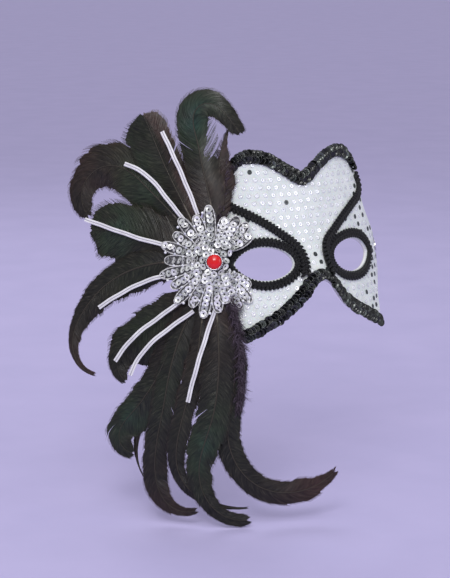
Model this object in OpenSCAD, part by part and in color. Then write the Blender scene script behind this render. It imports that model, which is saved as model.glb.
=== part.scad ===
// Venetian masquerade half mask with a side spray of cock feathers.
// Frame: +X to the wearer's left, -Y is the front of the face, +Z up, millimetres.
// The origin is the seat on the bridge of the nose, midway between the eyes.
// The mask's skin is laid out flat: u runs round the face from the nose line, v is the height.

/* [Mask skin] */
// Plan angle of the skin at 90 mm from the nose line, part that grows evenly (degrees)
bend_even = 34; // [24:1:38]
// Plan angle of the skin at 90 mm from the nose line, part that grows with the cube (degrees)
bend_side = 34; // [24:1:38]
// Backward lean of the skin, mm for each mm of height
lean = 0.27; // [0.15:0.01:0.35]
// How far the nose ridge stands forward of the face
nose_rise = 9; // [5:0.5:11]
// Thickness of the moulded shell
shell_t = 1.4; // [1:0.1:2]
// Thickness of the glitter fabric glued on the front
cover_t = 0.5; // [0.4:0.05:0.8]
// Thickness of the felt lining glued on the back
lining_t = 0.5; // [0.4:0.05:0.8]

/* [Eyes] */
// Distance of each eye opening's centre from the nose line, along the skin
eye_u = 35; // [34.5:0.1:36]
// Height of the eye opening's centre
eye_v = 0.1; // [-1:0.1:1]
// Half width of an eye opening
eye_a = 19.3; // [18.5:0.1:19.6]
// Half height of an eye opening
eye_b = 10.3; // [9.5:0.1:11]

/* [Braid and sequin trim] */
// Width of the black gimp braid
braid_w = 6; // [5.4:0.1:6.2]
// Thickness of the braid
braid_t = 1.8; // [1.4:0.1:2]
// Width of the black sequin trim
trim_w = 8.6; // [7.6:0.1:8.8]
// Thickness of the sequin trim
trim_t = 2.5; // [1.8:0.1:2.5]

/* [Strap eyelets] */
// Distance of each eyelet from the nose line, along the skin
eyelet_u = 78; // [77:0.1:79]
// Radius of the hole through an eyelet
eyelet_r = 2; // [1.6:0.1:2.1]

/* [Applique] */
// Distance of the gem from the nose line, along the skin
gem_u = 66; // [65:0.5:67]
// Radius of the red gem
gem_r = 4.6; // [4:0.1:5]
// Length of a long petal, from the gem's centre
petal_long = 36; // [34:0.5:37]
// Length of a short petal, from the gem's centre
petal_short = 32; // [29:0.5:34]
// Radius of one silver sequin
sequin_r = 1.5; // [1.2:0.1:1.6]

/* [Feathers] */
// Height of one layer of feathers above the next
layer_rise = 0.85; // [0.8:0.05:0.9]
// Thickness of a feather at its shaft
feather_t = 0.55; // [0.4:0.05:0.55]
// Width of a satin strip
strip_w = 3; // [2:0.1:3.5]
// Distance from the gem to the line at which a group of plumes starts to bend
bend_line = 38.9; // [38.9:0.1:42]

/* [Hidden] */
$fn = 32;

// Heights of the skin's three layers above the face, and the gap that trim keeps from them.
shell_h = lining_t;
cover_h = shell_h + shell_t;
front_h = cover_h + cover_t;
trim_gap = 0.3;
skin_span = 90;
nose_halfwidth = 15;
nose_fade = [20, -25];

// Half outline of the mask, nose arch to forehead dip, as [u, v].
OUTLINE = [
    [0, -11.5], [8, -14.5], [14, -22], [23, -30.5], [34, -37], [45, -42.5], [55, -46.5],
    [61, -42], [62.5, -31], [67, -21], [75, -13], [82, -7], [85, -1], [83, 4], [76, 10],
    [68, 17], [61, 27], [57.5, 38], [56, 48], [53, 58], [46, 66], [38, 69.5], [29, 69.5],
    [18, 64.5], [8, 58], [0, 53.5]
];
// Centre lines of the sequin trims and the brow braid, as [u, v].
TOP_TRIM = [[0, 51.5], [8, 55.5], [19, 62.5], [29, 66.5], [38, 66.5], [45, 63], [50.5, 56]];
LOWER_TRIM = [
    [0, -9], [6.3, -11.8], [11.5, -18], [17.5, -24], [24, -28.7], [31, -33], [41, -38], [56, -45]
];
BROW = [
    [53.5, 50], [56, 43], [52.5, 37], [42, 31.5], [31, 25], [20.5, 17.5], [12, 10.5], [9, 3.5],
    [8.7, -3], [9.8, -8]
];
outline_steps = 2;
middle_steps = 7;
skin_rings = 5;

// Directions from the gem in which the groups of plumes bend, in degrees from +p towards +q.
crest_dir = 94;
side_dir = 150;
tail_dir = 258;
// Gap that each side of the bend line keeps, and the height of the lowest feather layer.
root_gap = 0.7;
first_layer = 1.0;
// Sections along a satin strip, and along a feather, which bends more.
strip_sections = 10;
blade_sections = 14;

// Blades of the spray: group direction, root [p, q], headings from root to tip in degrees,
// length, full width, where the taper starts (0 to 1), tip width (0 to 1), layer.
CREST = [
    [[-2, 20], [87, 103, 101, 93, -35, -55], 117, 22, 0.5, 0.15, 6],
    [[-1, 20], [85, 85, 85, 65], 66, 20, 0.5, 0.1, 4]
];
SIDE = [
    [[-11, 18], [115, 118, 116, 113, 118], 86, 23, 0.9, 0.8, 3],
    [[-13, 16], [135, 135, 145, 225, 315], 120, 28, 0.55, 0.3, 2],
    [[-17, 4], [150, 160, 165, 170, 185], 67, 34, 0.85, 0.7, 4],
    [[-14, 0], [175, 195, 225, 260, 350], 133, 21, 0.35, 0.1, 5]
];
TAIL = [
    [[-11, -16], [-130, -145, -145, -120, -30], 87, 30, 0.6, 0.2, 1],
    [[-9, -18], [-105, -115, -115, -125, -130, 10], 125, 16, 0.75, 0.3, 2],
    [[-10, -17], [-110, -115, -115, -105, -55], 132, 7, 0.6, 0.1, 0],
    [[-8, -18], [-115, -110, -105, -100, -75, 30], 163, 16, 0.6, 0.1, 3],
    [[-6, -17], [-95, -100, -105, -95, -30, 15], 176, 18, 0.5, 0.1, 4],
    [[-1, -17], [-80, -90, -100, -110, -55, 25], 174, 25, 0.5, 0.3, 5],
    [[3, -17], [-75, -80, -100, -60, 0, 50], 189, 17, 0.85, 0.3, 3]
];
TUFTS = [
    [[1, 20], [80, 80, 70], 38, 19, 0.4, 0.3, 5],
    [[6, -17], [-75, -80, -90], 75, 14, 0.4, 0.3, 4.3]
];
// Satin strips: root, headings, length. They all lie in one layer, the side group's first.
strip_layer = 6;
side_strips = 4;
STRIPS = [
    [[-11, 30], [110, 115, 115], 58], [[-20, 27], [125, 135, 155], 54],
    [[-27, 10], [165, 165, 155], 61], [[-28, -8], [-170, -155, -145], 52],
    [[-22, -25], [-145, -140, -125], 57], [[-13, -31], [-145, -140, -110], 59],
    [[1, -29], [-110, -105, -105], 62]
];

// Petals of the applique: the fan on the feather side, then the lobes on the face side.
fan_count = 12;
fan_from = 97;
fan_step = 16.2;
lobe_count = 4;
lobe_step = 13;
lobe_top_from = 38;
lobe_low_from = -34;
// How much shorter the lobes are than a short petal, and how much they differ, top and low.
lobe_cut = [3, 5];
lobe_wave = [4, 8];
// Height of the backing, its thickness, and how far it comes down between two values of p.
backing_n = 7;
backing_t = 0.5;
lobe_drop = 4.2;
lobe_slope = [4, 20];

// ---- Small maths ----
function total(list) = list * [for (i = list) 1];
function smooth(a, b, x) = let (t = min(1, max(0, (x - a) / (b - a)))) t * t * (3 - 2 * t);
function unit(v) = v / norm(v);
function mix(a, b, t) = a + (b - a) * t;
function spline(a, b, c, d, t) =
    0.5 * (2 * b + (c - a) * t + (2 * a - 5 * b + 4 * c - d) * t * t
        + (3 * b - a - 3 * c + d) * t * t * t);
// Smooth curve through a list, with a ghost point before its first and after its last.
function through(list, before, after, steps) =
    let (g = concat([before], list, [after]), n = len(list) - 1)
    [for (i = [0:n * steps]) let (k = min(n - 1, floor(i / steps)))
        spline(g[k], g[k + 1], g[k + 2], g[k + 3], i / steps - k)];
function value_at(list, t) =
    let (n = len(list) - 1, k = min(n - 1, floor(t * n)), g = concat(
        [2 * list[0] - list[1]], list, [2 * list[n] - list[n - 1]]))
    spline(g[k], g[k + 1], g[k + 2], g[k + 3], t * n - k);
function mirrored(p) = [-p.x, p.y];

// ---- The skin of the mask ----
function plan_angle(u) =
    sign(u) * (bend_even * abs(u) / skin_span + bend_side * pow(abs(u) / skin_span, 3));
function plan(u) =
    let (n = 12, h = u / n, a = [for (i = [0:n - 1]) plan_angle((i + 0.5) * h)])
    h * [total([for (x = a) cos(x)]), total([for (x = a) sin(x)])];
function nose_at(u, v) =
    nose_rise * exp(-pow(u / nose_halfwidth, 2)) * smooth(nose_fade[0], nose_fade[1], v);
function back_skin(u, v) =
    let (p = plan(u)) [p.x, p.y + lean * v - nose_at(u, v) + nose_at(0, 0), v];
function skin_normal(u, v) =
    let (e = 0.5)
    unit(cross(back_skin(u + e, v) - back_skin(u - e, v),
        back_skin(u, v + e) - back_skin(u, v - e)));
// A point at height h above the face side of the skin.
function on_skin(u, v, h) = back_skin(u, v) + h * skin_normal(u, v);

function eye_edge(t, grow) =
    let (sharp = 1 + 0.175 * (1 + cos(t)))
    [eye_u + (eye_a + grow) * cos(t),
        eye_v + (eye_b + grow) * sign(sin(t)) * pow(abs(sin(t)), sharp)];
function eye_param(p) = atan2((p.y - eye_v) / eye_b, (p.x - eye_u) / eye_a);
half_edge = through(OUTLINE, mirrored(OUTLINE[1]), mirrored(OUTLINE[len(OUTLINE) - 2]),
    outline_steps);
middle_top = OUTLINE[len(OUTLINE) - 1].y;
middle_low = OUTLINE[0].y;
middle = [for (i = [1:middle_steps - 1]) [0, mix(middle_top, middle_low, i / middle_steps)]];
half_loop = concat(half_edge, middle);
loop_n = len(half_loop);
edge_n = len(half_edge) - 1;

// One layer of the skin from height low to height high, with both eye openings.
module skin_layer(low, high) {
    function index(side, face, ring, k) =
        let (kk = k % loop_n)
        let (s = (ring == skin_rings && (kk == 0 || kk >= edge_n)) ? 0 : side)
        ((s * 2 + face) * (skin_rings + 1) + ring) * loop_n + kk;
    function quad(a, b, c, d, flip) = flip ? [[a, c, b], [a, d, c]] : [[a, b, c], [a, c, d]];
    points = [for (side = [0:1]) for (face = [0:1]) for (ring = [0:skin_rings]) for (p = half_loop)
        let (q = mix(eye_edge(eye_param(p), 0), p, ring / skin_rings))
        on_skin(side == 0 ? q.x : -q.x, q.y, face == 0 ? low : high)];
    sheets = [for (side = [0:1]) for (face = [0:1]) for (ring = [0:skin_rings - 1])
        for (k = [0:loop_n - 1])
        each quad(index(side, face, ring, k), index(side, face, ring, k + 1),
            index(side, face, ring + 1, k + 1), index(side, face, ring + 1, k),
            (side + face) % 2 == 0)];
    eye_walls = [for (side = [0:1]) for (k = [0:loop_n - 1])
        each quad(index(side, 0, 0, k), index(side, 1, 0, k), index(side, 1, 0, k + 1),
            index(side, 0, 0, k + 1), side == 0)];
    rim_walls = [for (side = [0:1]) for (k = [0:edge_n - 1])
        each quad(index(side, 0, skin_rings, k), index(side, 0, skin_rings, k + 1),
            index(side, 1, skin_rings, k + 1), index(side, 1, skin_rings, k), side == 0)];
    polyhedron(points, concat(sheets, eye_walls, rim_walls), convexity = 6);
}

// Places children with their z axis along dir, at the given point.
module aim(point, dir) {
    translate(point)
        rotate([0, acos(dir.z), atan2(dir.y, dir.x)])
            children();
}
module at_eyelet(side) {
    aim(on_skin(side * eyelet_u, 0, 0), skin_normal(side * eyelet_u, 0)) children();
}
eyelet_wall = 0.7;
eyelet_flange = 1.6;
eyelet_standoff = 0.35;
eyelet_lip = 0.4;
hole_clearance = 0.15;
module drilled_layer(low, high) {
    difference() {
        skin_layer(low, high);
        for (side = [-1, 1])
            at_eyelet(side)
                translate([0, 0, -2])
                    cylinder(r = eyelet_r + eyelet_wall + hole_clearance, h = front_h + 4);
    }
}
module mask_shell() { color("white") drilled_layer(shell_h, cover_h); }
module fabric_cover() { color("#e9eef2") drilled_layer(cover_h, front_h); }
module lining() { color("#202022") drilled_layer(0, lining_t); }

module eyelet(side) {
    low = -eyelet_standoff - eyelet_lip;
    high = front_h + eyelet_standoff + eyelet_lip;
    barrel = eyelet_r + eyelet_wall;
    flange = eyelet_r + eyelet_flange;
    color("silver")
        at_eyelet(side)
            rotate_extrude()
                polygon([
                    [eyelet_r, low], [flange, low], [flange, low + eyelet_lip],
                    [barrel, low + eyelet_lip], [barrel, high - eyelet_lip],
                    [flange, high - eyelet_lip], [flange, high], [eyelet_r, high]
                ]);
}
module eyelet_left() { eyelet(1); }
module eyelet_right() { eyelet(-1); }

// ---- Bands laid on the skin ----
// Rings of points to a closed solid; a ring runs round the section, the ends get caps.
module swept(rings, closed = false) {
    n = len(rings[0]);
    m = len(rings);
    points = [for (r = rings) each r];
    last = closed ? m - 1 : m - 2;
    sides = [for (i = [0:last]) for (k = [0:n - 1])
        let (a = i * n + k, b = i * n + (k + 1) % n)
        let (c = ((i + 1) % m) * n + (k + 1) % n, d = ((i + 1) % m) * n + k)
        each [[a, b, c], [a, c, d]]];
    caps = closed ? [] : concat(
        [for (k = [1:n - 2]) [0, k + 1, k]],
        [for (k = [1:n - 2]) [(m - 1) * n, (m - 1) * n + k, (m - 1) * n + k + 1]]);
    polyhedron(points, concat(sides, caps), convexity = 8);
}
// Section of a band whose edges are at a and b in (u, v), side -1 on the wearer's right.
BAND_SHAPE = [[0, 0], [1, 0], [0.85, 0.7], [0.5, 1], [0.15, 0.7]];
CUTTER_SHAPE = [[0, 0], [1, 0], [1, 1], [0, 1]];
function band_section(a, b, thick, side, low = front_h + trim_gap, shape = BAND_SHAPE) =
    [for (s = shape)
        let (q = mix(a, b, s.x)) on_skin(side * q.x, q.y, low + s.y * thick)];
function ordered(ring, flip) = flip ? [for (i = [len(ring) - 1:-1:0]) ring[i]] : ring;
function across(path, i) =
    let (d = unit(path[min(i + 1, len(path) - 1)] - path[max(i - 1, 0)])) [-d.y, d.x];
module band(path, width, thick, side) {
    swept([for (i = [0:len(path) - 1]) let (c = across(path, i) * width / 2)
        ordered(band_section(path[i] + c, path[i] - c, thick, side), side < 0)]);
}
// The room that a band takes, with a gap round it, to cut another band back from it.
cutter_gap = 0.15;
cutter_low = 1;
cutter_t = 6;
module band_cutter(path, width, side) {
    swept([for (i = [0:len(path) - 1]) let (c = across(path, i) * (width / 2 + cutter_gap))
        ordered(band_section(path[i] + c, path[i] - c, cutter_t, side, cutter_low, CUTTER_SHAPE),
            side < 0)]);
}
function open_curve(list, steps) =
    let (n = len(list) - 1)
    through(list, 2 * list[0] - list[1], 2 * list[n] - list[n - 1], steps);
// A path given for one half, carried over the nose line to the other half.
function both_halves(list, steps) =
    let (half = through(list, mirrored(list[1]), 2 * list[len(list) - 1] - list[len(list) - 2], steps))
    concat([for (i = [len(half) - 1:-1:1]) mirrored(half[i])], half);

eye_turns = 44;
module eye_braid(side) {
    color("#151515")
        swept([for (i = [0:eye_turns - 1]) let (t = 360 * i / eye_turns)
            ordered(band_section(eye_edge(t, trim_gap), eye_edge(t, trim_gap + braid_w),
                braid_t, side), side < 0)], closed = true);
}
module eye_cutter(side) {
    swept([for (i = [0:eye_turns - 1]) let (t = 360 * i / eye_turns)
        ordered(band_section(eye_edge(t, 0), eye_edge(t, trim_gap + braid_w + cutter_gap),
            cutter_t, side, cutter_low, CUTTER_SHAPE), side < 0)], closed = true);
}
module eye_braid_left() { eye_braid(1); }
module eye_braid_right() { eye_braid(-1); }
// The brow braid is trimmed where it meets the eye braid and the lower sequins.
module brow_braid(side) {
    color("#151515")
        difference() {
            band(open_curve(BROW, 3), braid_w, braid_t, side);
            eye_cutter(side);
            band_cutter(both_halves(LOWER_TRIM, 3), trim_w, 1);
        }
}
module brow_braid_left() { brow_braid(1); }
module brow_braid_right() { brow_braid(-1); }
module top_sequin_trim() { color("#1a1d1c") band(both_halves(TOP_TRIM, 3), trim_w, trim_t, 1); }
module lower_sequin_trim() {
    color("#1a1d1c") band(both_halves(LOWER_TRIM, 3), trim_w, trim_t, 1);
}

// ---- The spray: p to the wearer's left, q up, n out of the face, from under the gem ----
spray_o = on_skin(-gem_u, 2, front_h);
spray_n = skin_normal(-gem_u, 2);
spray_p = unit(cross([0, 0, 1], spray_n));
spray_q = cross(spray_n, spray_p);
// The spray falls away on both sides like the mask, and its tail falls back below tail_from.
side_fall = [7.1, 20.3];
tail_fall = [12, 50];
tail_from = -45;
function fall(x, size) = size[0] * (sqrt(1 + pow(x / size[1], 2)) - 1);
function dome(p, q) = fall(p, side_fall) + fall(min(0, q - tail_from), tail_fall);
function in_spray(p, q, n) = spray_o + p * spray_p + q * spray_q + (n - dome(p, q)) * spray_n;
function dome_normal(p, q) =
    let (e = 0.5)
    unit(cross(in_spray(p + e, q, 0) - in_spray(p - e, q, 0),
        in_spray(p, q + e, 0) - in_spray(p, q - e, 0)));
function layer_n(layer) = first_layer + layer_rise * layer;
function direction(a) = [cos(a), sin(a)];

spine_steps = 48;
function spine(root, headings, length) =
    let (d = length / spine_steps)
    [for (i = 0, p = root; i <= spine_steps;
        p = p + d * direction(value_at(headings, (i + 0.5) / spine_steps)), i = i + 1) p];
function first_beyond(path, dir, reach, i = 0) =
    (i >= len(path) - 1 || path[i] * direction(dir) >= reach) ? i
        : first_beyond(path, dir, reach, i + 1);
// A blade is narrow at its root, full by full_at, and tapers from taper_at to its tip.
root_share = 0.15;
full_at = 0.4;
function blade_width(t, width, taper_at, tip) =
    width * mix(root_share, 1, smooth(0, full_at, t)) * mix(1, tip, smooth(taper_at, 1, t));
// The width at which a blade's inner edge would fold in its own bend, less a margin.
bend_span = 4;
bend_share = 0.85;
no_limit = 100;
function bend_room(path, i) =
    let (n = len(path) - 1, a = path[max(i - bend_span, 0)], c = path[min(i + bend_span, n)])
    let (ahead = unit(c - path[min(i, n - 1)]), behind = unit(path[max(i, 1)] - a))
    let (turn = i < bend_span || i > n - bend_span ? 0 : acos(min(1, ahead * behind)))
    turn < 1 ? no_limit : bend_share * norm(c - a) / (turn * PI / 180);
BLADE_SHAPE = [
    [-1, 0], [-0.5, 0.8], [0, 1], [0.5, 0.8], [1, 0], [0.5, -0.8], [0, -1], [-0.5, -0.8]
];
function blade_section(path, i, width, n, thick) =
    let (c = across(path, i) * width / 2)
    [for (s = BLADE_SHAPE)
        let (q = path[i] + s.x * c) in_spray(q.x, q.y, n + (1 + s.y) * thick / 2)];
// The steps of a spine at which a blade from start to its tip has its sections.
function picks(start, sections) =
    [for (j = [0:sections]) round(mix(start, spine_steps, j / sections))];
module blade(b, dir) {
    path = spine(b[0], b[1], b[2]);
    start = first_beyond(path, dir, bend_line + root_gap);
    swept([for (i = picks(start, blade_sections)) let (t = i / spine_steps)
        blade_section(path, i, min(blade_width(t, b[3], b[4], b[5]), bend_room(path, i)),
            layer_n(b[6]), feather_t)]);
}
quill_w = 1.8;
quill_sections = 4;
module quill(root, headings, length, layer, dir) {
    path = spine(root, headings, length);
    stop = first_beyond(path, dir, bend_line - root_gap) - 1;
    if (stop > 1)
        swept([for (j = [0:quill_sections]) let (i = round(mix(0, stop, j / quill_sections)))
            blade_section(path, i, quill_w, layer_n(layer), feather_t)]);
}
module strip_blade(strip, dir) {
    path = spine(strip[0], strip[1], strip[2]);
    start = first_beyond(path, dir, bend_line + root_gap);
    swept([for (i = picks(start, strip_sections))
        blade_section(path, i, strip_w, layer_n(strip_layer), feather_t)]);
}
feather_color = "#1c211d";
module crest_feather(i) { color(feather_color) blade(CREST[i], crest_dir); }
module side_feather(i) { color(feather_color) blade(SIDE[i], side_dir); }
module tail_feather(i) { color(feather_color) blade(TAIL[i], tail_dir); }
module tuft_upper() { color("#2a1f2b") blade(TUFTS[0], crest_dir); }
module tuft_lower() { color("#2a1f2b") blade(TUFTS[1], tail_dir); }
module satin_strip(i) {
    color("white") strip_blade(STRIPS[i], i < side_strips ? side_dir : tail_dir);
}
module quill_roots() {
    color("#4a4238") {
        for (b = concat(CREST, [TUFTS[0]])) quill(b[0], b[1], b[2], b[6], crest_dir);
        for (b = SIDE) quill(b[0], b[1], b[2], b[6], side_dir);
        for (b = concat(TAIL, [TUFTS[1]])) quill(b[0], b[1], b[2], b[6], tail_dir);
        for (i = [0:len(STRIPS) - 1])
            quill(STRIPS[i][0], STRIPS[i][1], STRIPS[i][2], strip_layer,
                i < side_strips ? side_dir : tail_dir);
    }
}

// ---- The applique and what holds it ----
// Each petal is [direction, length].
function lobes(from, step, k) =
    [for (i = [0:lobe_count - 1])
        [from + step * i, petal_short - lobe_cut[k] + lobe_wave[k] * sin(60 * i)]];
petals = concat(
    [for (i = [0:fan_count - 1]) [fan_from + fan_step * i, i % 2 == 0 ? petal_long : petal_short]],
    lobes(lobe_top_from, lobe_step, 0), lobes(lobe_low_from, -lobe_step, 1));
petal_half = 9;
petal_round = 0.2;
core_reach = 8;
function angle_gap(a, b) = abs((a - b + 900) % 360 - 180);
// How far the backing reaches in direction a.
function rim_at(a) = max(concat([core_reach],
    [for (p = petals) let (d = angle_gap(a, p[0]) / petal_half)
        d < 1 ? p[1] * (1 - petal_round * d * d) : core_reach]));
// Height of the backing: its face-side lobes come down onto the fabric.
function lobe_n(p) = backing_n - lobe_drop * smooth(lobe_slope[0], lobe_slope[1], p);
function on_backing(p, q, h) = in_spray(p, q, lobe_n(p) + backing_t + h);
function backing_normal(p, q) =
    let (e = 0.5)
    unit(cross(on_backing(p + e, q, 0) - on_backing(p - e, q, 0),
        on_backing(p, q + e, 0) - on_backing(p, q - e, 0)));
rim_turns = 108;
backing_rings = 6;
// A plate over the spray, from a centre [p, 0] out to a rim; with no low it lies at lobe_n.
module spray_plate(rim, rings, thick, center = 0, low = undef) {
    turns = len(rim);
    function row(face, ring, k) = 2 + (face * rings + ring) * turns + k % turns;
    function point(q, face) =
        in_spray(q.x + center, q.y, (low == undef ? lobe_n(q.x + center) : low) + face * thick);
    points = concat(
        [point([0, 0], 0), point([0, 0], 1)],
        [for (face = [0:1]) for (ring = [1:rings]) for (r = rim) point(r * ring / rings, face)]);
    hub = [for (k = [0:turns - 1])
        each [[0, row(0, 0, k), row(0, 0, k + 1)], [1, row(1, 0, k + 1), row(1, 0, k)]]];
    sheets = [for (ring = [0:rings - 2]) for (k = [0:turns - 1])
        each [
            [row(0, ring, k), row(0, ring + 1, k), row(0, ring + 1, k + 1)],
            [row(0, ring, k), row(0, ring + 1, k + 1), row(0, ring, k + 1)],
            [row(1, ring, k), row(1, ring + 1, k + 1), row(1, ring + 1, k)],
            [row(1, ring, k), row(1, ring, k + 1), row(1, ring + 1, k + 1)]
        ]];
    wall = [for (k = [0:turns - 1]) let (m = rings - 1)
        each [[row(0, m, k), row(1, m, k), row(1, m, k + 1)],
            [row(0, m, k), row(1, m, k + 1), row(0, m, k + 1)]]];
    polyhedron(points, concat(hub, sheets, wall), convexity = 6);
}
module applique_backing() {
    color("#b9bcc0")
        spray_plate([for (k = [0:rim_turns - 1]) let (a = 360 * k / rim_turns)
            rim_at(a) * direction(a)], backing_rings, backing_t);
}
cord_gap = 0.15;
cord_w = 0.9;
module bullion_cord() {
    color("silver")
        swept([for (k = [0:rim_turns - 1]) let (a = 360 * k / rim_turns, r = rim_at(a))
            [for (s = [[-cord_w, 0], [0, 0], [0, cord_w], [-cord_w, cord_w]])
                let (q = (r + s.x) * direction(a)) on_backing(q.x, q.y, cord_gap + s.y)]],
            closed = true);
}
sequin_t = 0.4;
sequin_gap = 0.35;
sequin_pitch = 3.6;
sequin_from = 16;
module applique_sequins() {
    color("#d5d8da")
        for (petal = petals)
            for (r = [sequin_from:sequin_pitch:petal[1] - sequin_r - 2 * cord_w]) {
                q = r * direction(petal[0]);
                aim(on_backing(q.x, q.y, sequin_gap), backing_normal(q.x, q.y))
                    cylinder(r = sequin_r, h = sequin_t, $fn = 24);
            }
}
setting_t = 1;
setting_wall = 0.9;
setting_h = 2.4;
gem_step = 1;
gem_rise = 2.4;
module gem_setting() {
    color("silver")
        aim(in_spray(0, 0, backing_n + backing_t + 2 * cord_gap), spray_n)
            rotate_extrude()
                polygon([
                    [0, 0], [gem_r + setting_wall, 0], [gem_r + setting_wall, setting_h],
                    [gem_r + cord_gap, setting_h], [gem_r + cord_gap, setting_t], [0, setting_t]
                ]);
}
module red_gem() {
    color("red")
        aim(in_spray(0, 0, backing_n + backing_t + 3 * cord_gap + setting_t), spray_n)
            rotate_extrude()
                polygon(concat([[0, 0], [gem_r, 0]],
                    [for (a = [15:15:90]) [gem_r * cos(a), gem_step + gem_rise * sin(a)]]));
}
// The felt patch under the spray, punched clear of the eyelet that it covers.
felt_center = -9;
felt_half = [12, 24];
felt_low = 0.35;
felt_t = 0.45;
felt_turns = 36;
felt_rings = 4;
punch_gap = 0.5;
module felt_base() {
    color("#26262a")
        difference() {
            spray_plate([for (k = [0:felt_turns - 1]) let (a = 360 * k / felt_turns)
                [felt_half.x * cos(a), felt_half.y * sin(a)]], felt_rings, felt_t,
                felt_center, felt_low);
            at_eyelet(-1)
                cylinder(r = eyelet_r + eyelet_flange + punch_gap, h = 2 * front_h);
        }
}
core_center = -4;
core_r = 6;
core_gap = 0.2;
module glue_core() {
    color("#c9b98a")
        aim(in_spray(core_center, 0, first_layer + core_gap), dome_normal(core_center, 0))
            cylinder(r = core_r, h = backing_n - first_layer - 5 * core_gap);
}

mask_shell();
fabric_cover();
lining();
eye_braid_left();
eye_braid_right();
brow_braid_left();
brow_braid_right();
top_sequin_trim();
lower_sequin_trim();
eyelet_left();
eyelet_right();
felt_base();
glue_core();
quill_roots();
applique_backing();
applique_sequins();
bullion_cord();
gem_setting();
red_gem();
tuft_upper();
tuft_lower();
for (i = [0:len(CREST) - 1])
    crest_feather(i);
for (i = [0:len(SIDE) - 1])
    side_feather(i);
for (i = [0:len(TAIL) - 1])
    tail_feather(i);
for (i = [0:len(STRIPS) - 1])
    satin_strip(i);
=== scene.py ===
# The looks of a venetian masquerade mask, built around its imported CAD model.
import math

import bmesh
import bpy
import numpy as np
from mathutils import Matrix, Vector


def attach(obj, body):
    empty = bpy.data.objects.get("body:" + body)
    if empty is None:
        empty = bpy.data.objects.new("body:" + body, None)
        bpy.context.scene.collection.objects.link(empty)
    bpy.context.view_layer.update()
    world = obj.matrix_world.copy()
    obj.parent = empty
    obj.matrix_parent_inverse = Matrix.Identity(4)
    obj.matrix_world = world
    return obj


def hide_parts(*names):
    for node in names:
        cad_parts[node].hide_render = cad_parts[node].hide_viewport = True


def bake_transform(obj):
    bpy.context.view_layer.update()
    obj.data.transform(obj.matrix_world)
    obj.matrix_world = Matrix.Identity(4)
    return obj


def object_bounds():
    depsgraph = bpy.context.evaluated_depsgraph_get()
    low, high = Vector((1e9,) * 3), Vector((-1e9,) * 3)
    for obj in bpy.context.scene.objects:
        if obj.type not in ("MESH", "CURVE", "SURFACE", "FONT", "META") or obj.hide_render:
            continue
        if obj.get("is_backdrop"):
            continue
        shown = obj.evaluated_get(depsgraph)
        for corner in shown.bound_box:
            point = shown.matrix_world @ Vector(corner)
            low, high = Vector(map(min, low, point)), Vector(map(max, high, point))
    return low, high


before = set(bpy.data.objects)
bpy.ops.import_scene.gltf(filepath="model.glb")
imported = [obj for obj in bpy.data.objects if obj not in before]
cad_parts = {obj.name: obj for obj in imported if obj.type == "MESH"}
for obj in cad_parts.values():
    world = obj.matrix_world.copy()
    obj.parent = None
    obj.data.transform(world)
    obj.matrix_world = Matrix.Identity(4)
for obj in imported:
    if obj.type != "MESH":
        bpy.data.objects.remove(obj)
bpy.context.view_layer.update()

MM = 0.001
rng = np.random.default_rng(7)

# ---- The mask's driving sizes, in millimetres, as in the CAD model ----
BEND_EVEN = 34
BEND_SIDE = 34
LEAN = 0.27
NOSE_RISE = 9
NOSE_HALFWIDTH = 15
NOSE_FADE = (20, -25)
SKIN_SPAN = 90
SHELL_H = 0.5
COVER_H = 1.9
FRONT_H = 2.4
EYE_U = 35
EYE_V = 0.1
EYE_A = 19.3
EYE_B = 10.3
EYELET_U = 78
EYELET_DRILL = 2.85
EYELET_PUNCH = 4.1
GEM_U = 66
GEM_R = 4.6
OUTLINE = [
    (0, -11.5), (8, -14.5), (14, -22), (23, -30.5), (34, -37), (45, -42.5), (55, -46.5),
    (61, -42), (62.5, -31), (67, -21), (75, -13), (82, -7), (85, -1), (83, 4), (76, 10),
    (68, 17), (61, 27), (57.5, 38), (56, 48), (53, 58), (46, 66), (38, 69.5), (29, 69.5),
    (18, 64.5), (8, 58), (0, 53.5),
]
TOP_TRIM = [(0, 51.5), (8, 55.5), (19, 62.5), (29, 66.5), (38, 66.5), (45, 63), (50.5, 56)]
LOWER_TRIM = [
    (0, -9), (6.3, -11.8), (11.5, -18), (17.5, -24), (24, -28.7), (31, -33), (41, -38), (56, -45),
]
BROW = [
    (53.5, 50), (56, 43), (52.5, 37), (42, 31.5), (31, 25), (20.5, 17.5), (12, 10.5), (9, 3.5),
    (8.7, -3), (9.8, -8),
]
BRAID_W = 6
TRIM_GAP = 0.3
FIRST_LAYER = 1.0
LAYER_RISE = 0.85
STRIP_LAYER = 6
BACKING_N = 7.0
BACKING_T = 0.5
LOBE_DROP = 4.2

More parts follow.
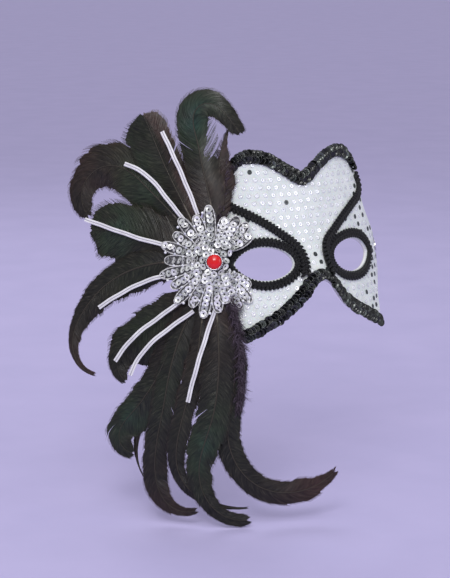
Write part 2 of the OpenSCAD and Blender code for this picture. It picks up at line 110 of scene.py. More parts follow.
# Blades of the spray: root, headings, length, width, taper start, tip width, layer. Most of
# the soft vanes are wider than the CAD blades, and four tail shafts lie a little off them.
CREST = [
    ((-2, 20), (87, 103, 101, 93, -35, -55), 117, 25, 0.62, 0.4, 6),
    ((-1, 20), (85, 85, 85, 65), 66, 20, 0.5, 0.1, 4),
]
SIDE = [
    ((-11, 18), (115, 118, 116, 113, 118), 86, 31, 0.9, 0.8, 3),
    ((-13, 16), (135, 135, 145, 225, 315), 120, 34, 0.6, 0.4, 2),
    ((-17, 4), (150, 160, 165, 170, 185), 68, 40, 0.85, 0.75, 4),
    ((-14, 0), (175, 195, 225, 260, 350), 133, 27, 0.28, 0.1, 5),
]
TAIL = [
    ((-11, -16), (-130, -145, -145, -120, -30), 87, 34, 0.65, 0.25, 1),
    ((-9, -18), (-115, -120, -113, -125, -122, 0), 125, 25, 0.8, 0.45, 2),
    ((-10, -17), (-110, -115, -115, -105, -55), 132, 7, 0.6, 0.1, 0),
    ((-8, -18), (-120, -110, -100, -100, -70, 25), 165, 18, 0.75, 0.25, 3),
    ((-5, -17), (-98, -97, -105, -95, -33, 8), 173, 15, 0.5, 0.1, 4),
    ((0, -17), (-83, -87, -97, -107, -60, 12), 169, 24, 0.5, 0.35, 5),
    ((3, -17), (-75, -80, -100, -60, 0, 50), 189, 17, 0.85, 0.3, 3),
]
STRIPS = [
    ((-11, 30), (110, 115, 115), 58), ((-20, 27), (125, 135, 155), 54),
    ((-27, 10), (165, 165, 155), 61), ((-28, -8), (-170, -155, -145), 52),
    ((-22, -25), (-145, -140, -125), 57), ((-13, -31), (-145, -140, -110), 59),
    ((1, -29), (-110, -105, -105), 62),
]
SIDE_STRIPS = 4


# ---- Small maths ----
def smooth(a, b, x):
    t = np.clip((np.asarray(x, float) - a) / (b - a), 0, 1)
    return t * t * (3 - 2 * t)


def unit(v):
    v = np.asarray(v, float)
    return v / np.linalg.norm(v, axis=-1, keepdims=True)


def spline(points, t):
    """Values of a smooth curve through points, which start and end with a ghost, at t in 0 to 1."""
    g = np.asarray(points, float)
    n = len(g) - 3
    x = np.clip(np.asarray(t, float), 0, 1) * n
    k = np.minimum(x.astype(int), n - 1)
    f = x - k
    if g.ndim > 1:
        f = f[:, None]
    a, b, c, d = g[k], g[k + 1], g[k + 2], g[k + 3]
    bend = (2 * a - 5 * b + 4 * c - d) * f * f + (3 * b - a - 3 * c + d) * f ** 3
    return 0.5 * (2 * b + (c - a) * f + bend)


def with_ghosts(points):
    p = np.asarray(points, float)
    return np.concatenate([[2 * p[0] - p[1]], p, [2 * p[-1] - p[-2]]])


def half_curve(points, count, far_mirror=False):
    """A smooth half line whose first point, and maybe its last, lies on the nose line."""
    p = np.asarray(points, float)
    flip = np.array([-1, 1])
    last = p[-2] * flip if far_mirror else 2 * p[-1] - p[-2]
    return spline(np.concatenate([[p[1] * flip], p, [last]]), np.linspace(0, 1, count))


def both_halves(points, count):
    half = half_curve(points, count)
    return np.concatenate([half[:0:-1] * [-1, 1], half])


# ---- The skin: u round the face, v up, h above the face side ----
def plan(u):
    u = np.asarray(u, float)
    n = 12
    mid = [(i + 0.5) * u / n for i in range(n)]
    turn = [np.radians(np.sign(m) * (BEND_EVEN * abs(m) / SKIN_SPAN
                                     + BEND_SIDE * (abs(m) / SKIN_SPAN) ** 3)) for m in mid]
    return u / n * sum(np.cos(a) for a in turn), u / n * sum(np.sin(a) for a in turn)


def nose_at(u, v):
    return NOSE_RISE * np.exp(-(np.asarray(u, float) / NOSE_HALFWIDTH) ** 2) * smooth(*NOSE_FADE, v)


def back_skin(u, v):
    x, y = plan(u)
    v = np.asarray(v, float)
    return np.stack([x + 0 * v, y + LEAN * v - nose_at(u, v) + nose_at(0, 0), v + 0 * x], -1)


def skin_normal(u, v):
    e = 0.5
    return unit(np.cross(back_skin(u + e, v) - back_skin(u - e, v),
                         back_skin(u, v + e) - back_skin(u, v - e)))


def on_skin(u, v, h):
    u, v, h = np.broadcast_arrays(*[np.asarray(a, float) for a in (u, v, h)])
    return back_skin(u, v) + h[..., None] * skin_normal(u, v)


def skin_at(uv, h):
    return on_skin(uv[..., 0], uv[..., 1], h)


def eye_edge(t, grow):
    t = np.asarray(t, float)
    sharp = 1 + 0.175 * (1 + np.cos(t))
    s = np.sin(t)
    return np.stack([EYE_U + (EYE_A + grow) * np.cos(t),
                     EYE_V + (EYE_B + grow) * np.sign(s) * abs(s) ** sharp], -1)


def eye_param(p):
    return np.arctan2((p[..., 1] - EYE_V) / EYE_B, (p[..., 0] - EYE_U) / EYE_A)


# ---- The spray's frame: p to the wearer's left, q up, n out of the face ----
SPRAY_O = on_skin(-GEM_U, 2, FRONT_H)
SPRAY_N = skin_normal(-GEM_U, 2)
SPRAY_P = unit(np.cross([0, 0, 1], SPRAY_N))
SPRAY_Q = np.cross(SPRAY_N, SPRAY_P)


def dome(p, q):
    side = 7.1 * (np.sqrt(1 + (p / 20.3) ** 2) - 1)
    return side + np.where(q < -45, 12 * (np.sqrt(1 + ((q + 45) / 50) ** 2) - 1), 0)


def in_spray(p, q, n):
    p, q, n = np.broadcast_arrays(*[np.asarray(a, float) for a in (p, q, n)])
    return (SPRAY_O + p[..., None] * SPRAY_P + q[..., None] * SPRAY_Q
            + (n - dome(p, q))[..., None] * SPRAY_N)


def spray_at(pq, n):
    return in_spray(pq[..., 0], pq[..., 1], n)


def dome_normal(p, q):
    e = 0.5
    return unit(np.cross(in_spray(p + e, q, 0) - in_spray(p - e, q, 0),
                         in_spray(p, q + e, 0) - in_spray(p, q - e, 0)))


def left_of(ahead):
    """Directions a quarter turn to the left of those in ahead, on the flat skin or spray."""
    return np.stack([-ahead[:, 1], ahead[:, 0]], -1)


def heading_vector(degrees):
    a = np.radians(degrees)
    return np.stack([np.cos(a), np.sin(a)], -1)


def spine(root, headings, length, count):
    """Points and headings along a blade's shaft in (p, q)."""
    t = np.linspace(0, 1, count)
    mid = (t[1:] + t[:-1]) / 2
    ghosts = with_ghosts(headings)
    steps = heading_vector(spline(ghosts, mid)) * length / (count - 1)
    points = np.concatenate([[root], root + np.cumsum(steps, 0)])
    return t, points, spline(ghosts, t)


def lobe_n(p):
    """Height of the flower's backing: its face-side lobes come down onto the fabric."""
    return BACKING_N - LOBE_DROP * smooth(4, 20, p)


# ---- Mesh making ----
def grid_faces(rows, cols, wrap_rows=False, wrap_cols=False):
    r = np.arange(rows if wrap_rows else rows - 1)
    c = np.arange(cols if wrap_cols else cols - 1)
    r, c = (a.ravel() for a in np.meshgrid(r, c, indexing="ij"))
    r1, c1 = (r + 1) % rows, (c + 1) % cols
    return np.stack([r * cols + c, r * cols + c1, r1 * cols + c1, r1 * cols + c], -1)


def capped(rows, cols):
    """Faces of a tube of rings of points, with both of its ends closed."""
    ends = [np.arange(cols)[None, ::-1], (rows - 1) * cols + np.arange(cols)[None]]
    return [grid_faces(rows, cols, wrap_cols=True)] + ends


def circle(count, x_axis, y_axis):
    """Directions evenly round a circle in the plane of two axes."""
    a = 2 * np.pi * np.arange(count) / count
    return np.cos(a)[:, None] * x_axis + np.sin(a)[:, None] * y_axis


class Pile:
    """Collects points and faces, with named numbers on each point, and makes one mesh."""

    def __init__(self, *names):
        self.names = names
        self.points, self.faces, self.marks, self.count = [], [], [], 0

    def add(self, points, faces, **marks):
        points = np.asarray(points, float).reshape(-1, 3)
        for block in faces if isinstance(faces, list) else [faces]:
            self.faces.append(np.asarray(block) + self.count)
        table = np.zeros((len(points), len(self.names)))
        for i, name in enumerate(self.names):
            table[:, i] = np.ravel(marks.get(name, 0.0))
        self.points.append(points)
        self.marks.append(table)
        self.count += len(points)

    def stamp(self, shape, places, axes, **marks):
        """Copies of a shape (points, face blocks), one at each place, with its own axes (m, 3, 3)."""
        points, blocks = shape
        m, k = len(places), len(points)
        moved = places[:, None, :] + np.einsum("kc,mcd->mkd", points, axes)
        lift = (np.arange(m) * k)[:, None, None]
        faces = [(lift + b[None]).reshape(-1, b.shape[1]) for b in blocks]
        spread = {name: value if np.ndim(value) == 0 else
                  np.repeat(value, k) if len(value) == m else np.tile(value, m)
                  for name, value in marks.items()}
        self.add(moved, faces, **spread)

    def object(self, name, material, shade_smooth=True):
        points = np.concatenate(self.points) * MM
        mesh = bpy.data.meshes.new(name)
        mesh.vertices.add(len(points))
        mesh.vertices.foreach_set("co", points.ravel())
        loops = np.concatenate([f.ravel() for f in self.faces])
        sizes = np.concatenate([np.full(len(f), f.shape[1]) for f in self.faces])
        mesh.loops.add(len(loops))
        mesh.loops.foreach_set("vertex_index", loops.astype(np.int32))
        mesh.polygons.add(len(sizes))
        mesh.polygons.foreach_set("loop_start", (np.cumsum(sizes) - sizes).astype(np.int32))
        mesh.update(calc_edges=True)
        mesh.validate()
        table = np.concatenate(self.marks)
        for i, mark in enumerate(self.names):
            layer = mesh.attributes.new(mark, "FLOAT", "POINT")
            layer.data.foreach_set("value", table[:, i].astype(np.float32))
        mesh.polygons.foreach_set("use_smooth", np.full(len(mesh.polygons), shade_smooth))
        mesh.materials.append(material)
        obj = bpy.data.objects.new(name, mesh)
        bpy.context.scene.collection.objects.link(obj)
        return obj


def tidy_mesh(obj, merge=0.00001):
    """Merges points that meet and turns every face outwards."""
    mesh = bmesh.new()
    mesh.from_mesh(obj.data)
    bmesh.ops.remove_doubles(mesh, verts=mesh.verts, dist=merge)
    bmesh.ops.recalc_face_normals(mesh, faces=mesh.faces)
    mesh.to_mesh(obj.data)
    mesh.free()


def cut(obj, tool):
    """Cuts tool out of obj, and removes tool."""
    step = obj.modifiers.new("cut", "BOOLEAN")
    step.operation = "DIFFERENCE"
    step.solver = "EXACT"
    step.object = tool
    graph = bpy.context.evaluated_depsgraph_get()
    done = bpy.data.meshes.new_from_object(obj.evaluated_get(graph))
    obj.modifiers.remove(step)
    obj.data = done
    bpy.data.objects.remove(tool)


def tube(pile, path, radius, sides=8, **marks):
    """A closed tube along points in space, its radius one number or one for each point."""
    path = np.asarray(path, float)
    radius = np.broadcast_to(radius, len(path))
    ahead = unit(np.gradient(path, axis=0))
    side = unit(np.cross(ahead, SPRAY_N))
    up = np.cross(side, ahead)
    a = 2 * np.pi * np.arange(sides) / sides
    ring = (np.cos(a)[None, :, None] * side[:, None] + np.sin(a)[None, :, None] * up[:, None])
    body, *ends = capped(len(path), sides)
    pile.add(path[:, None] + ring * radius[:, None, None], [body[:, ::-1]] + ends, **marks)


def sequin_shape(radius, hole, cup, thick=0.09, segments=14):
    """A cupped sequin with a hole at its centre; its axis is z."""
    flat = radius * 0.5
    rings = [(hole, 0), (flat, 0.02), (radius * 0.8, cup * 0.6), (radius, cup),
             (radius * 0.98, cup - thick), (flat, -thick), (hole, -thick)]
    a = 2 * np.pi * np.arange(segments) / segments
    points = [[(r * math.cos(t), r * math.sin(t), z) for t in a] for r, z in rings]
    faces = grid_faces(len(rings), segments, wrap_rows=True, wrap_cols=True)
    return np.array(points).reshape(-1, 3), [faces]


def bead_shape(rows=5, cols=8):
    """A unit ball; the second number of each pole ring closes it with one point."""
    lat = np.linspace(-np.pi / 2, np.pi / 2, rows + 2)[1:-1]
    lon = 2 * np.pi * np.arange(cols) / cols
    body = [(math.cos(b) * math.cos(a), math.cos(b) * math.sin(a), math.sin(b))
            for b in lat for a in lon]
    points = np.array(body + [(0, 0, -1), (0, 0, 1)])
    k = np.arange(cols)
    low, high = rows * cols, rows * cols + 1
    base = (rows - 1) * cols
    bottom = np.stack([np.full(cols, low), (k + 1) % cols, k], -1)
    top = np.stack([np.full(cols, high), base + k, base + (k + 1) % cols], -1)
    return points, [grid_faces(rows, cols, wrap_cols=True), bottom, top]


def scaled(shape, x, y, z):
    return shape[0] * [x, y, z], shape[1]


def axes_from(ahead, normal):
    """Axes (m, 3, 3) with x along ahead and z along normal."""
    ahead = unit(ahead)
    across = unit(np.cross(normal, ahead))
    return np.stack([ahead, across, unit(np.cross(ahead, across))], 1)


def turned(axes, first, second, angle):
    """The axes turned by angle, in radians, from their first axis towards their second."""
    angle = np.broadcast_to(angle, len(axes))[:, None]
    out = axes.copy()
    out[:, first] = np.cos(angle) * axes[:, first] + np.sin(angle) * axes[:, second]
    out[:, second] = np.cos(angle) * axes[:, second] - np.sin(angle) * axes[:, first]
    return out


# ---- Materials ----
class Paint:
    """A node material with one principled shader, and short calls that add to it."""

    def __init__(self, name, **values):
        self.material = bpy.data.materials.new(name)
        self.material.use_nodes = True
        self.nodes = self.material.node_tree.nodes
        self.links = self.material.node_tree.links
        self.shader = self.nodes["Principled BSDF"]
        for key, value in values.items():
            self.shader.inputs[key.replace("_", " ")].default_value = value

    def node(self, kind, **values):
        made = self.nodes.new(kind)
        for key, value in values.items():
            if key in made.inputs:
                made.inputs[key].default_value = value
            else:
                setattr(made, key, value)
        return made

    def place(self):
        return self.node("ShaderNodeTexCoord").outputs["Object"]

    def noise(self, size_mm, detail=3, stretch=None):
        """Noise whose grain is about size_mm across, in 0 to 1."""
        tex = self.node("ShaderNodeTexNoise", Scale=1000 / size_mm, Detail=detail)
        source = self.place()
        if stretch:
            turn = self.node("ShaderNodeMapping")
            turn.inputs["Scale"].default_value = stretch
            self.links.new(source, turn.inputs["Vector"])
            source = turn.outputs["Vector"]
        self.links.new(source, tex.inputs["Vector"])
        return tex.outputs["Fac"]

    def cells(self, size_mm):
        tex = self.node("ShaderNodeTexVoronoi", Scale=1000 / size_mm)
        self.links.new(self.place(), tex.inputs["Vector"])
        return tex.outputs["Color"]

    def mark(self, name):
        """A number that the mesh holds on its points."""
        return self.node("ShaderNodeAttribute", attribute_name=name).outputs["Fac"]

    def ramp(self, source, stops):
        ramp = self.node("ShaderNodeValToRGB")
        while len(ramp.color_ramp.elements) < len(stops):
            ramp.color_ramp.elements.new(0.5)
        for element, (at, colour) in zip(ramp.color_ramp.elements, stops):
            element.position = at
            element.color = (*colour, 1)
        self.links.new(source, ramp.inputs["Fac"])
        return ramp.outputs["Color"]

    def blend(self, factor, a, b, mode="MIX"):
        mix = self.node("ShaderNodeMix", data_type="RGBA", blend_type=mode)
        for index, value in ((0, factor), (6, a), (7, b)):
            if isinstance(value, (tuple, float, int)):
                mix.inputs[index].default_value = (*value, 1) if isinstance(value, tuple) else value
            else:
                self.links.new(value, mix.inputs[index])
        return mix.outputs[2]

    def maths(self, operation, a, b=0.0):
        node = self.node("ShaderNodeMath", operation=operation)
        for index, value in ((0, a), (1, b)):
            if isinstance(value, (float, int)):
                node.inputs[index].default_value = value
            else:
                self.links.new(value, node.inputs[index])
        return node.outputs[0]

    def scale(self, source, low, high):
        node = self.node("ShaderNodeMapRange")
        node.inputs["To Min"].default_value = low
        node.inputs["To Max"].default_value = high
        self.links.new(source, node.inputs["Value"])
        return node.outputs[0]

    def colour(self, source):
        self.links.new(source, self.shader.inputs["Base Color"])

    def roughness(self, source, low, high):
        self.links.new(self.scale(source, low, high), self.shader.inputs["Roughness"])

    def bump(self, *heights):
        """Each height is (source, depth in mm); they add up."""
        last = None
        for source, depth in heights:
            node = self.node("ShaderNodeBump", Distance=depth * MM, Strength=1.0)
            self.links.new(source, node.inputs["Height"])
            if last:
                self.links.new(last, node.inputs["Normal"])
            last = node.outputs["Normal"]
        self.links.new(last, self.shader.inputs["Normal"])


def glitter_fabric():
    m = Paint("glitter_fabric", Specular_IOR_Level=0.6, Sheen_Weight=0.25)
    grain = m.cells(0.45)
    soft = m.noise(9, 4)
    base = m.ramp(soft, [(0.3, (0.68, 0.74, 0.71)), (0.7, (0.81, 0.86, 0.82))])
    m.colour(m.blend(0.3, base, grain, "SOFT_LIGHT"))
    m.roughness(grain, 0.22, 0.75)
    m.bump((grain, 0.05), (m.noise(1.2, 3), 0.12))
    return m.material


def mottled(name, dark, light, grain, gloss, gloss_size, depth, depth_size, **values):
    """A material whose colour, gloss and height each vary with a noise of their own."""
    m = Paint(name, **values)
    m.colour(m.ramp(m.noise(*grain), [(0.3, dark), (0.7, light)]))
    m.roughness(m.noise(*gloss_size), *gloss)
    m.bump((m.noise(*depth_size), depth))
    return m.material


def shell_plastic():
    return mottled("shell_plastic", (0.78, 0.79, 0.8), (0.86, 0.87, 0.88), (6, 4),
                   (0.35, 0.55), (2,), 0.04, (0.8, 4), Specular_IOR_Level=0.45)


def felt(name, dark, light):
    m = Paint(name, Specular_IOR_Level=0.2, Sheen_Weight=0.5, Sheen_Roughness=0.6)
    fibres = m.noise(0.7, 6, (1, 1, 0.35))
    m.colour(m.ramp(m.blend(0.5, fibres, m.noise(7, 3)), [(0.3, dark), (0.7, light)]))
    m.roughness(fibres, 0.8, 1.0)
    m.bump((fibres, 0.25), (m.noise(3, 2), 0.2))
    return m.material


def gimp():
    m = Paint("gimp_braid", Specular_IOR_Level=0.5)
    threads = m.maths("SINE", m.maths("MULTIPLY", m.mark("across"), 16.0))
    m.colour(m.ramp(m.noise(1.4), [(0.3, (0.003, 0.0035, 0.0035)), (0.7, (0.014, 0.015, 0.016))]))
    m.roughness(m.noise(0.5), 0.38, 0.62)
    m.bump((threads, 0.12), (m.noise(0.3), 0.05))
    return m.material


def glinting(name, stops, cloud, gloss, gloss_size, depth, depth_size, **values):
    """Small bright pieces: each one's own chance sets its tone, and a soft cloud varies it.

    cloud is the share and the size of that cloud."""
    m = Paint(name, **values)
    m.colour(m.blend(cloud[0], m.ramp(m.mark("chance"), stops), m.noise(cloud[1]), "SOFT_LIGHT"))
    m.roughness(m.noise(gloss_size), *gloss)
    m.bump((m.noise(depth_size), depth))
    return m.material


def foil_dot():
    # Chance below 0.45 gives silver dots; above 0.5 near-black ones, a painted dark reflection in mirror
    # foil.
    stops = [(0.0, (0.93, 0.95, 0.97)), (0.45, (0.82, 0.86, 0.88)),
             (0.5, (0.02, 0.03, 0.03)), (1.0, (0.05, 0.06, 0.06))]
    return glinting("foil_dot", stops, (0.15, 1.5), (0.12, 0.4), 0.8, 0.03, 0.6,
                    Metallic=0.35, Specular_IOR_Level=0.8)


def black_sequin():
    # Tone by each sequin's chance: the few high ones turn light grey-green, painted glints of the key
    # light on copies of one black sequin.
    stops = [(0.0, (0.008, 0.009, 0.009)), (0.6, (0.03, 0.034, 0.032)), (1.0, (0.11, 0.13, 0.12))]
    return glinting("black_sequin", stops, (0.3, 1.2), (0.12, 0.35), 0.9, 0.03, 0.5,
                    Metallic=0.55, Coat_Weight=0.5, Coat_Roughness=0.1)


def silver_sequin():
    # Chance 0 is the near-black painted shade of the discs under the sequins' holes; from 0.2 to 1 the
    # tone climbs from grey to white, painted glints and shade on copies of one silver sequin.
    stops = [(0.0, (0.006, 0.006, 0.006)), (0.2, (0.45, 0.47, 0.46)),
             (0.5, (0.95, 0.97, 0.95)), (1.0, (1.0, 1.0, 0.99))]
    return glinting("silver_sequin", stops, (0.2, 1.5), (0.12, 0.32), 0.8, 0.02, 0.6,
                    Metallic=0.4, Specular_IOR_Level=1.0, Coat_Weight=0.3)


def bullion():
    stops = [(0.0, (0.5, 0.5, 0.48)), (1.0, (0.98, 0.98, 0.96))]
    return glinting("bullion_thread", stops, (0.0, 1), (0.2, 0.45), 0.4, 0.05, 0.2, Metallic=0.25)


def clear_bead():
    stops = [(0.0, (0.6, 0.62, 0.68)), (1.0, (0.93, 0.94, 0.96))]
    return glinting("clear_bead", stops, (0.0, 1), (0.05, 0.2), 0.8, 0.03, 0.7,
                    Specular_IOR_Level=0.9, Coat_Weight=0.6)


def net():
    m = Paint("applique_net", Specular_IOR_Level=0.4, Sheen_Weight=0.3)
    weave = m.cells(0.8)
    # Painted shade: the net's near-black tone stands in for the shade between the sequins and the
    # bullion outlines.
    m.colour(m.ramp(weave, [(0.2, (0.015, 0.015, 0.016)), (0.8, (0.16, 0.16, 0.17))]))
    m.roughness(weave, 0.5, 0.85)
    m.bump((weave, 0.2))
    return m.material


def red_gem():
    return mottled("red_gem", (0.58, 0.003, 0.005), (0.78, 0.004, 0.008), (5, 2),
                   (0.08, 0.2), (1.5,), 0.03, (3,),
                   Specular_IOR_Level=0.5, Coat_Weight=0.25, Coat_Roughness=0.05)


def bright_metal(name, dark, light):
    return mottled(name, dark, light, (2, 4), (0.12, 0.35), (0.8, 4), 0.03, (0.5, 3), Metallic=1.0)


def feather_paint():
    m = Paint("cock_feather", Specular_IOR_Level=0.3)
    spot = m.node("ShaderNodeCombineXYZ")
    m.links.new(m.maths("MULTIPLY", m.mark("along"), 2.2), spot.inputs[0])
    m.links.new(m.maths("MULTIPLY", m.mark("out"), 0.22), spot.inputs[1])
    # The streak noise lightens stripes along the barbs in every tone below: painted sheen streaks on top
    # of the feathers' own uneven tone.
    streak = m.node("ShaderNodeTexNoise", Scale=1.0, Detail=4)
    m.links.new(spot.outputs[0], streak.inputs["Vector"])
    streak = streak.outputs["Fac"]
    sooty_tone_and_sheen_streaks = m.ramp(streak, [(0.32, (0.002, 0.002, 0.002)), (0.55, (0.013, 0.012, 0.009)),
                           (0.7, (0.045, 0.041, 0.031))])
    # The green and teal patches, where the green mark is high, are partly the feathers' own green and
    # partly a painted iridescent sheen.
    green = m.ramp(streak, [(0.3, (0.005, 0.011, 0.005)), (0.7, (0.04, 0.065, 0.03))])
    teal = m.ramp(streak, [(0.3, (0.004, 0.02, 0.018)), (0.7, (0.028, 0.09, 0.072))])
    brown = m.ramp(streak, [(0.3, (0.018, 0.008, 0.007)), (0.7, (0.075, 0.038, 0.032))])
    patch = m.ramp(m.noise(14, 2), [(0.35, (0.35, 0.35, 0.35)), (0.55, (1, 1, 1))])
    strong = m.maths("POWER", m.mark("green"), 4.0)
    coat = m.blend(m.maths("MULTIPLY", m.mark("green"), patch), sooty_tone_and_sheen_streaks, m.blend(strong, green, teal))
    coat = m.blend(m.maths("MULTIPLY", m.mark("brown"), patch), coat, brown)
    m.colour(m.blend(m.mark("shaft"), coat, (0.05, 0.043, 0.032)))
    m.roughness(m.noise(5, 3), 0.18, 0.55)
    barbs = m.maths("SINE", m.maths("MULTIPLY", m.mark("along"), 9.0))
    m.bump((streak, 0.16), (barbs, 0.03))
    return m.material


def down_paint():
    m = Paint("marabou_down", Specular_IOR_Level=0.2, Sheen_Weight=0.15, Sheen_Roughness=0.5)
    m.colour(m.ramp(m.mark("chance"), [(0.0, (0.008, 0.006, 0.009)), (0.5, (0.035, 0.023, 0.033)),
                                       (1.0, (0.13, 0.1, 0.14))]))
    m.roughness(m.noise(2), 0.6, 0.85)
    m.bump((m.noise(0.5), 0.05))
    return m.material


def satin():
    m = Paint("white_satin", Specular_IOR_Level=0.6, Sheen_Weight=0.2)
    threads = m.noise(0.25, 2, (1, 1, 0.2))
    cloth = m.ramp(m.noise(6, 3), [(0.3, (0.72, 0.71, 0.74)), (0.7, (0.88, 0.88, 0.89))])
    # Painted shade: the colour darkens to grey along the ribbon's middle groove, where shade falls.
    painted_groove_shade = m.ramp(m.maths("ABSOLUTE", m.mark("across")), [(0.05, (0.42, 0.42, 0.45)), (0.35, (1, 1, 1))])
    m.colour(m.blend(1.0, cloth, painted_groove_shade, "MULTIPLY"))
    m.roughness(threads, 0.28, 0.5)
    m.bump((threads, 0.05))
    return m.material


def quill_paint():
    return mottled("bare_quill", (0.05, 0.042, 0.034), (0.14, 0.12, 0.09), (3, 3),
                   (0.35, 0.6), (1,), 0.05, (0.5,), Specular_IOR_Level=0.5)


def glue():
    return mottled("set_glue", (0.55, 0.46, 0.3), (0.75, 0.68, 0.5), (4, 3),
                   (0.2, 0.45), (2,), 0.2, (3,), Specular_IOR_Level=0.5, Coat_Weight=0.3)


def floor_paint():
    return mottled("studio_floor", (0.5, 0.465, 0.73), (0.53, 0.49, 0.76), (60, 3),
                   (0.75, 0.9), (8,), 0.05, (1.5, 3), Specular_IOR_Level=0.2)


# ---- Camera, light and floor ----
CAMERA_AZIMUTH = math.radians(-35)
CAMERA_ELEVATION = math.radians(10)
CAMERA_DISTANCE = 1.3
CAMERA_LENS = 125
CAMERA_AIM = Vector((-0.0447, 0.0366, -0.0188))


def aimed(obj, place, target):
    obj.location = place
    obj.rotation_euler = (Vector(target) - Vector(place)).to_track_quat("-Z", "Y").to_euler()


def add_camera():
    data = bpy.data.cameras.new("camera")
    data.lens = CAMERA_LENS
    camera = bpy.data.objects.new("camera", data)
    bpy.context.scene.collection.objects.link(camera)
    back = Vector((math.sin(CAMERA_AZIMUTH) * math.cos(CAMERA_ELEVATION),
                   -math.cos(CAMERA_AZIMUTH) * math.cos(CAMERA_ELEVATION),
                   math.sin(CAMERA_ELEVATION)))
    aimed(camera, CAMERA_AIM + back * CAMERA_DISTANCE, CAMERA_AIM)
    bpy.context.scene.camera = camera


# Name, place, size, power and colour of each soft light, in metres and watts.
SOFT_LIGHTS = [
    ("key", (-0.9, -0.9, 0.8), 0.5, 7, (1.0, 0.99, 0.98)),
    ("fill", (0.7, -1.2, 0.5), 0.8, 3, (0.96, 0.97, 1.0)),
    ("back", (0.2, 1.1, 1.0), 0.9, 4, (0.97, 0.96, 1.0)),
]
SUN_PLACE = (-0.6, -0.7, 1.2)
SUN_STRENGTH = 0.65
SUN_ANGLE = math.radians(40)
WORLD_COLOUR = (0.56, 0.55, 0.6, 1)
WORLD_STRENGTH = 0.84


def add_light(name, kind, place, **values):
    data = bpy.data.lights.new(name, kind)
    for key, value in values.items():
        setattr(data, key, value)
    light = bpy.data.objects.new(name, data)
    bpy.context.scene.collection.objects.link(light)
    aimed(light, place, CAMERA_AIM)


# Half the floor, in metres, and how far it lies under the lowest piece.
FLOOR_HALF = 40
FLOOR_DROP = 0.0005


def add_stage(floor_z):
    bpy.context.scene.view_settings.view_transform = "Standard"
    world = bpy.data.worlds.new("studio")
    world.use_nodes = True
    world.node_tree.nodes["Background"].inputs["Color"].default_value = WORLD_COLOUR
    world.node_tree.nodes["Background"].inputs["Strength"].default_value = WORLD_STRENGTH
    bpy.context.scene.world = world
    for name, place, size, power, colour in SOFT_LIGHTS:
        add_light(name, "AREA", place, shape="DISK", size=size, energy=power, color=colour)
    add_light("sun", "SUN", SUN_PLACE, energy=SUN_STRENGTH, angle=SUN_ANGLE)
    pile = Pile()
    corners = [(x * FLOOR_HALF / MM, y * FLOOR_HALF / MM, floor_z / MM)
               for x, y in ((-1, -1), (1, -1), (1, 1), (-1, 1))]
    pile.add(corners, np.array([[0, 1, 2, 3]]))
    floor = pile.object("studio_floor", floor_paint(), shade_smooth=False)
    floor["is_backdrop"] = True


# ---- The mask body: three layers of skin ----
EDGE_STEPS = 8
MIDDLE_STEPS = 26
SKIN_RINGS = 18


def half_loop():
    edge = half_curve(OUTLINE, EDGE_STEPS * (len(OUTLINE) - 1) + 1, far_mirror=True)
    heights = np.linspace(OUTLINE[-1][1], OUTLINE[0][1], MIDDLE_STEPS)[1:-1]
    middle = np.stack([0 * heights, heights], -1)
    return np.concatenate([edge, middle]), len(edge) - 1


def skin_layer(name, low, high, material):
    loop, edge_n = half_loop()
    inner = eye_edge(eye_param(loop), 0)
    ring = np.linspace(0, 1, SKIN_RINGS + 1)[:, None, None]
    uv = inner + (loop - inner) * ring
    n = len(loop)
    pile = Pile()
    for side in (1, -1):
        sheets = [skin_at(uv * [side, 1], h) for h in (low, high)]
        for sheet in sheets:
            pile.add(sheet, grid_faces(SKIN_RINGS + 1, n, wrap_cols=True))
        eye_wall = np.stack([sheets[0][0], sheets[1][0]])
        pile.add(eye_wall, grid_faces(2, n, wrap_cols=True))
        rim_wall = np.stack([sheets[0][-1][:edge_n + 1], sheets[1][-1][:edge_n + 1]])
        pile.add(rim_wall, grid_faces(2, edge_n + 1))
    obj = pile.object(name, material)
    tidy_mesh(obj)
    for side in (1, -1):
        cut(obj, eyelet_drill(side))
    sharpen(obj)
    return obj


def sharpen(obj, angle=math.radians(35)):
    """Keeps the cut edges crisp while the faces stay smooth."""
    mesh = bmesh.new()
    mesh.from_mesh(obj.data)
    for edge in mesh.edges:
        if len(edge.link_faces) == 2 and edge.calc_face_angle(0) > angle:
            edge.smooth = False
    for face in mesh.faces:
        face.smooth = True
    mesh.to_mesh(obj.data)
    mesh.free()


def eyelet_drill(side, radius=EYELET_DRILL, sides=28):
    centre = on_skin(side * EYELET_U, 0, 0)
    axis = skin_normal(side * EYELET_U, 0)
    axes = axes_from(np.cross(axis, [[0, 0, 1]]), axis[None])[0]
    ring = circle(sides, axes[0], axes[1]) * radius
    pile = Pile()
    pile.add(np.stack([centre + ring - 3 * axes[2], centre + ring + 6 * axes[2]]), capped(2, sides))
    drill = pile.object("drill", shell_material)
    tidy_mesh(drill)
    return drill


def inside_polygon(points, polygon):
    x, y = points[:, 0], points[:, 1]
    inside = np.zeros(len(points), bool)
    a = np.roll(polygon, 1, 0)
    for (x0, y0), (x1, y1) in zip(a, polygon):
        if y0 != y1:
            crosses = (y0 > y) != (y1 > y)
            inside ^= crosses & (x < (x1 - x0) * (y - y0) / (y1 - y0) + x0)
    return inside


DOT_PITCH = 5.6
DOT_R = 1.6
DOT_RISE = 0.12
DOT_JITTER = 0.35
DOT_TILT = 0.05
# The dots keep this far from the outline and from the eye openings.
DOT_EDGE_GAP = 2.0
DOT_EYE_GAP = 3
# A point that lies inside each half's outline, towards which the dots keep back.
HALF_CENTRE = (40, 12)


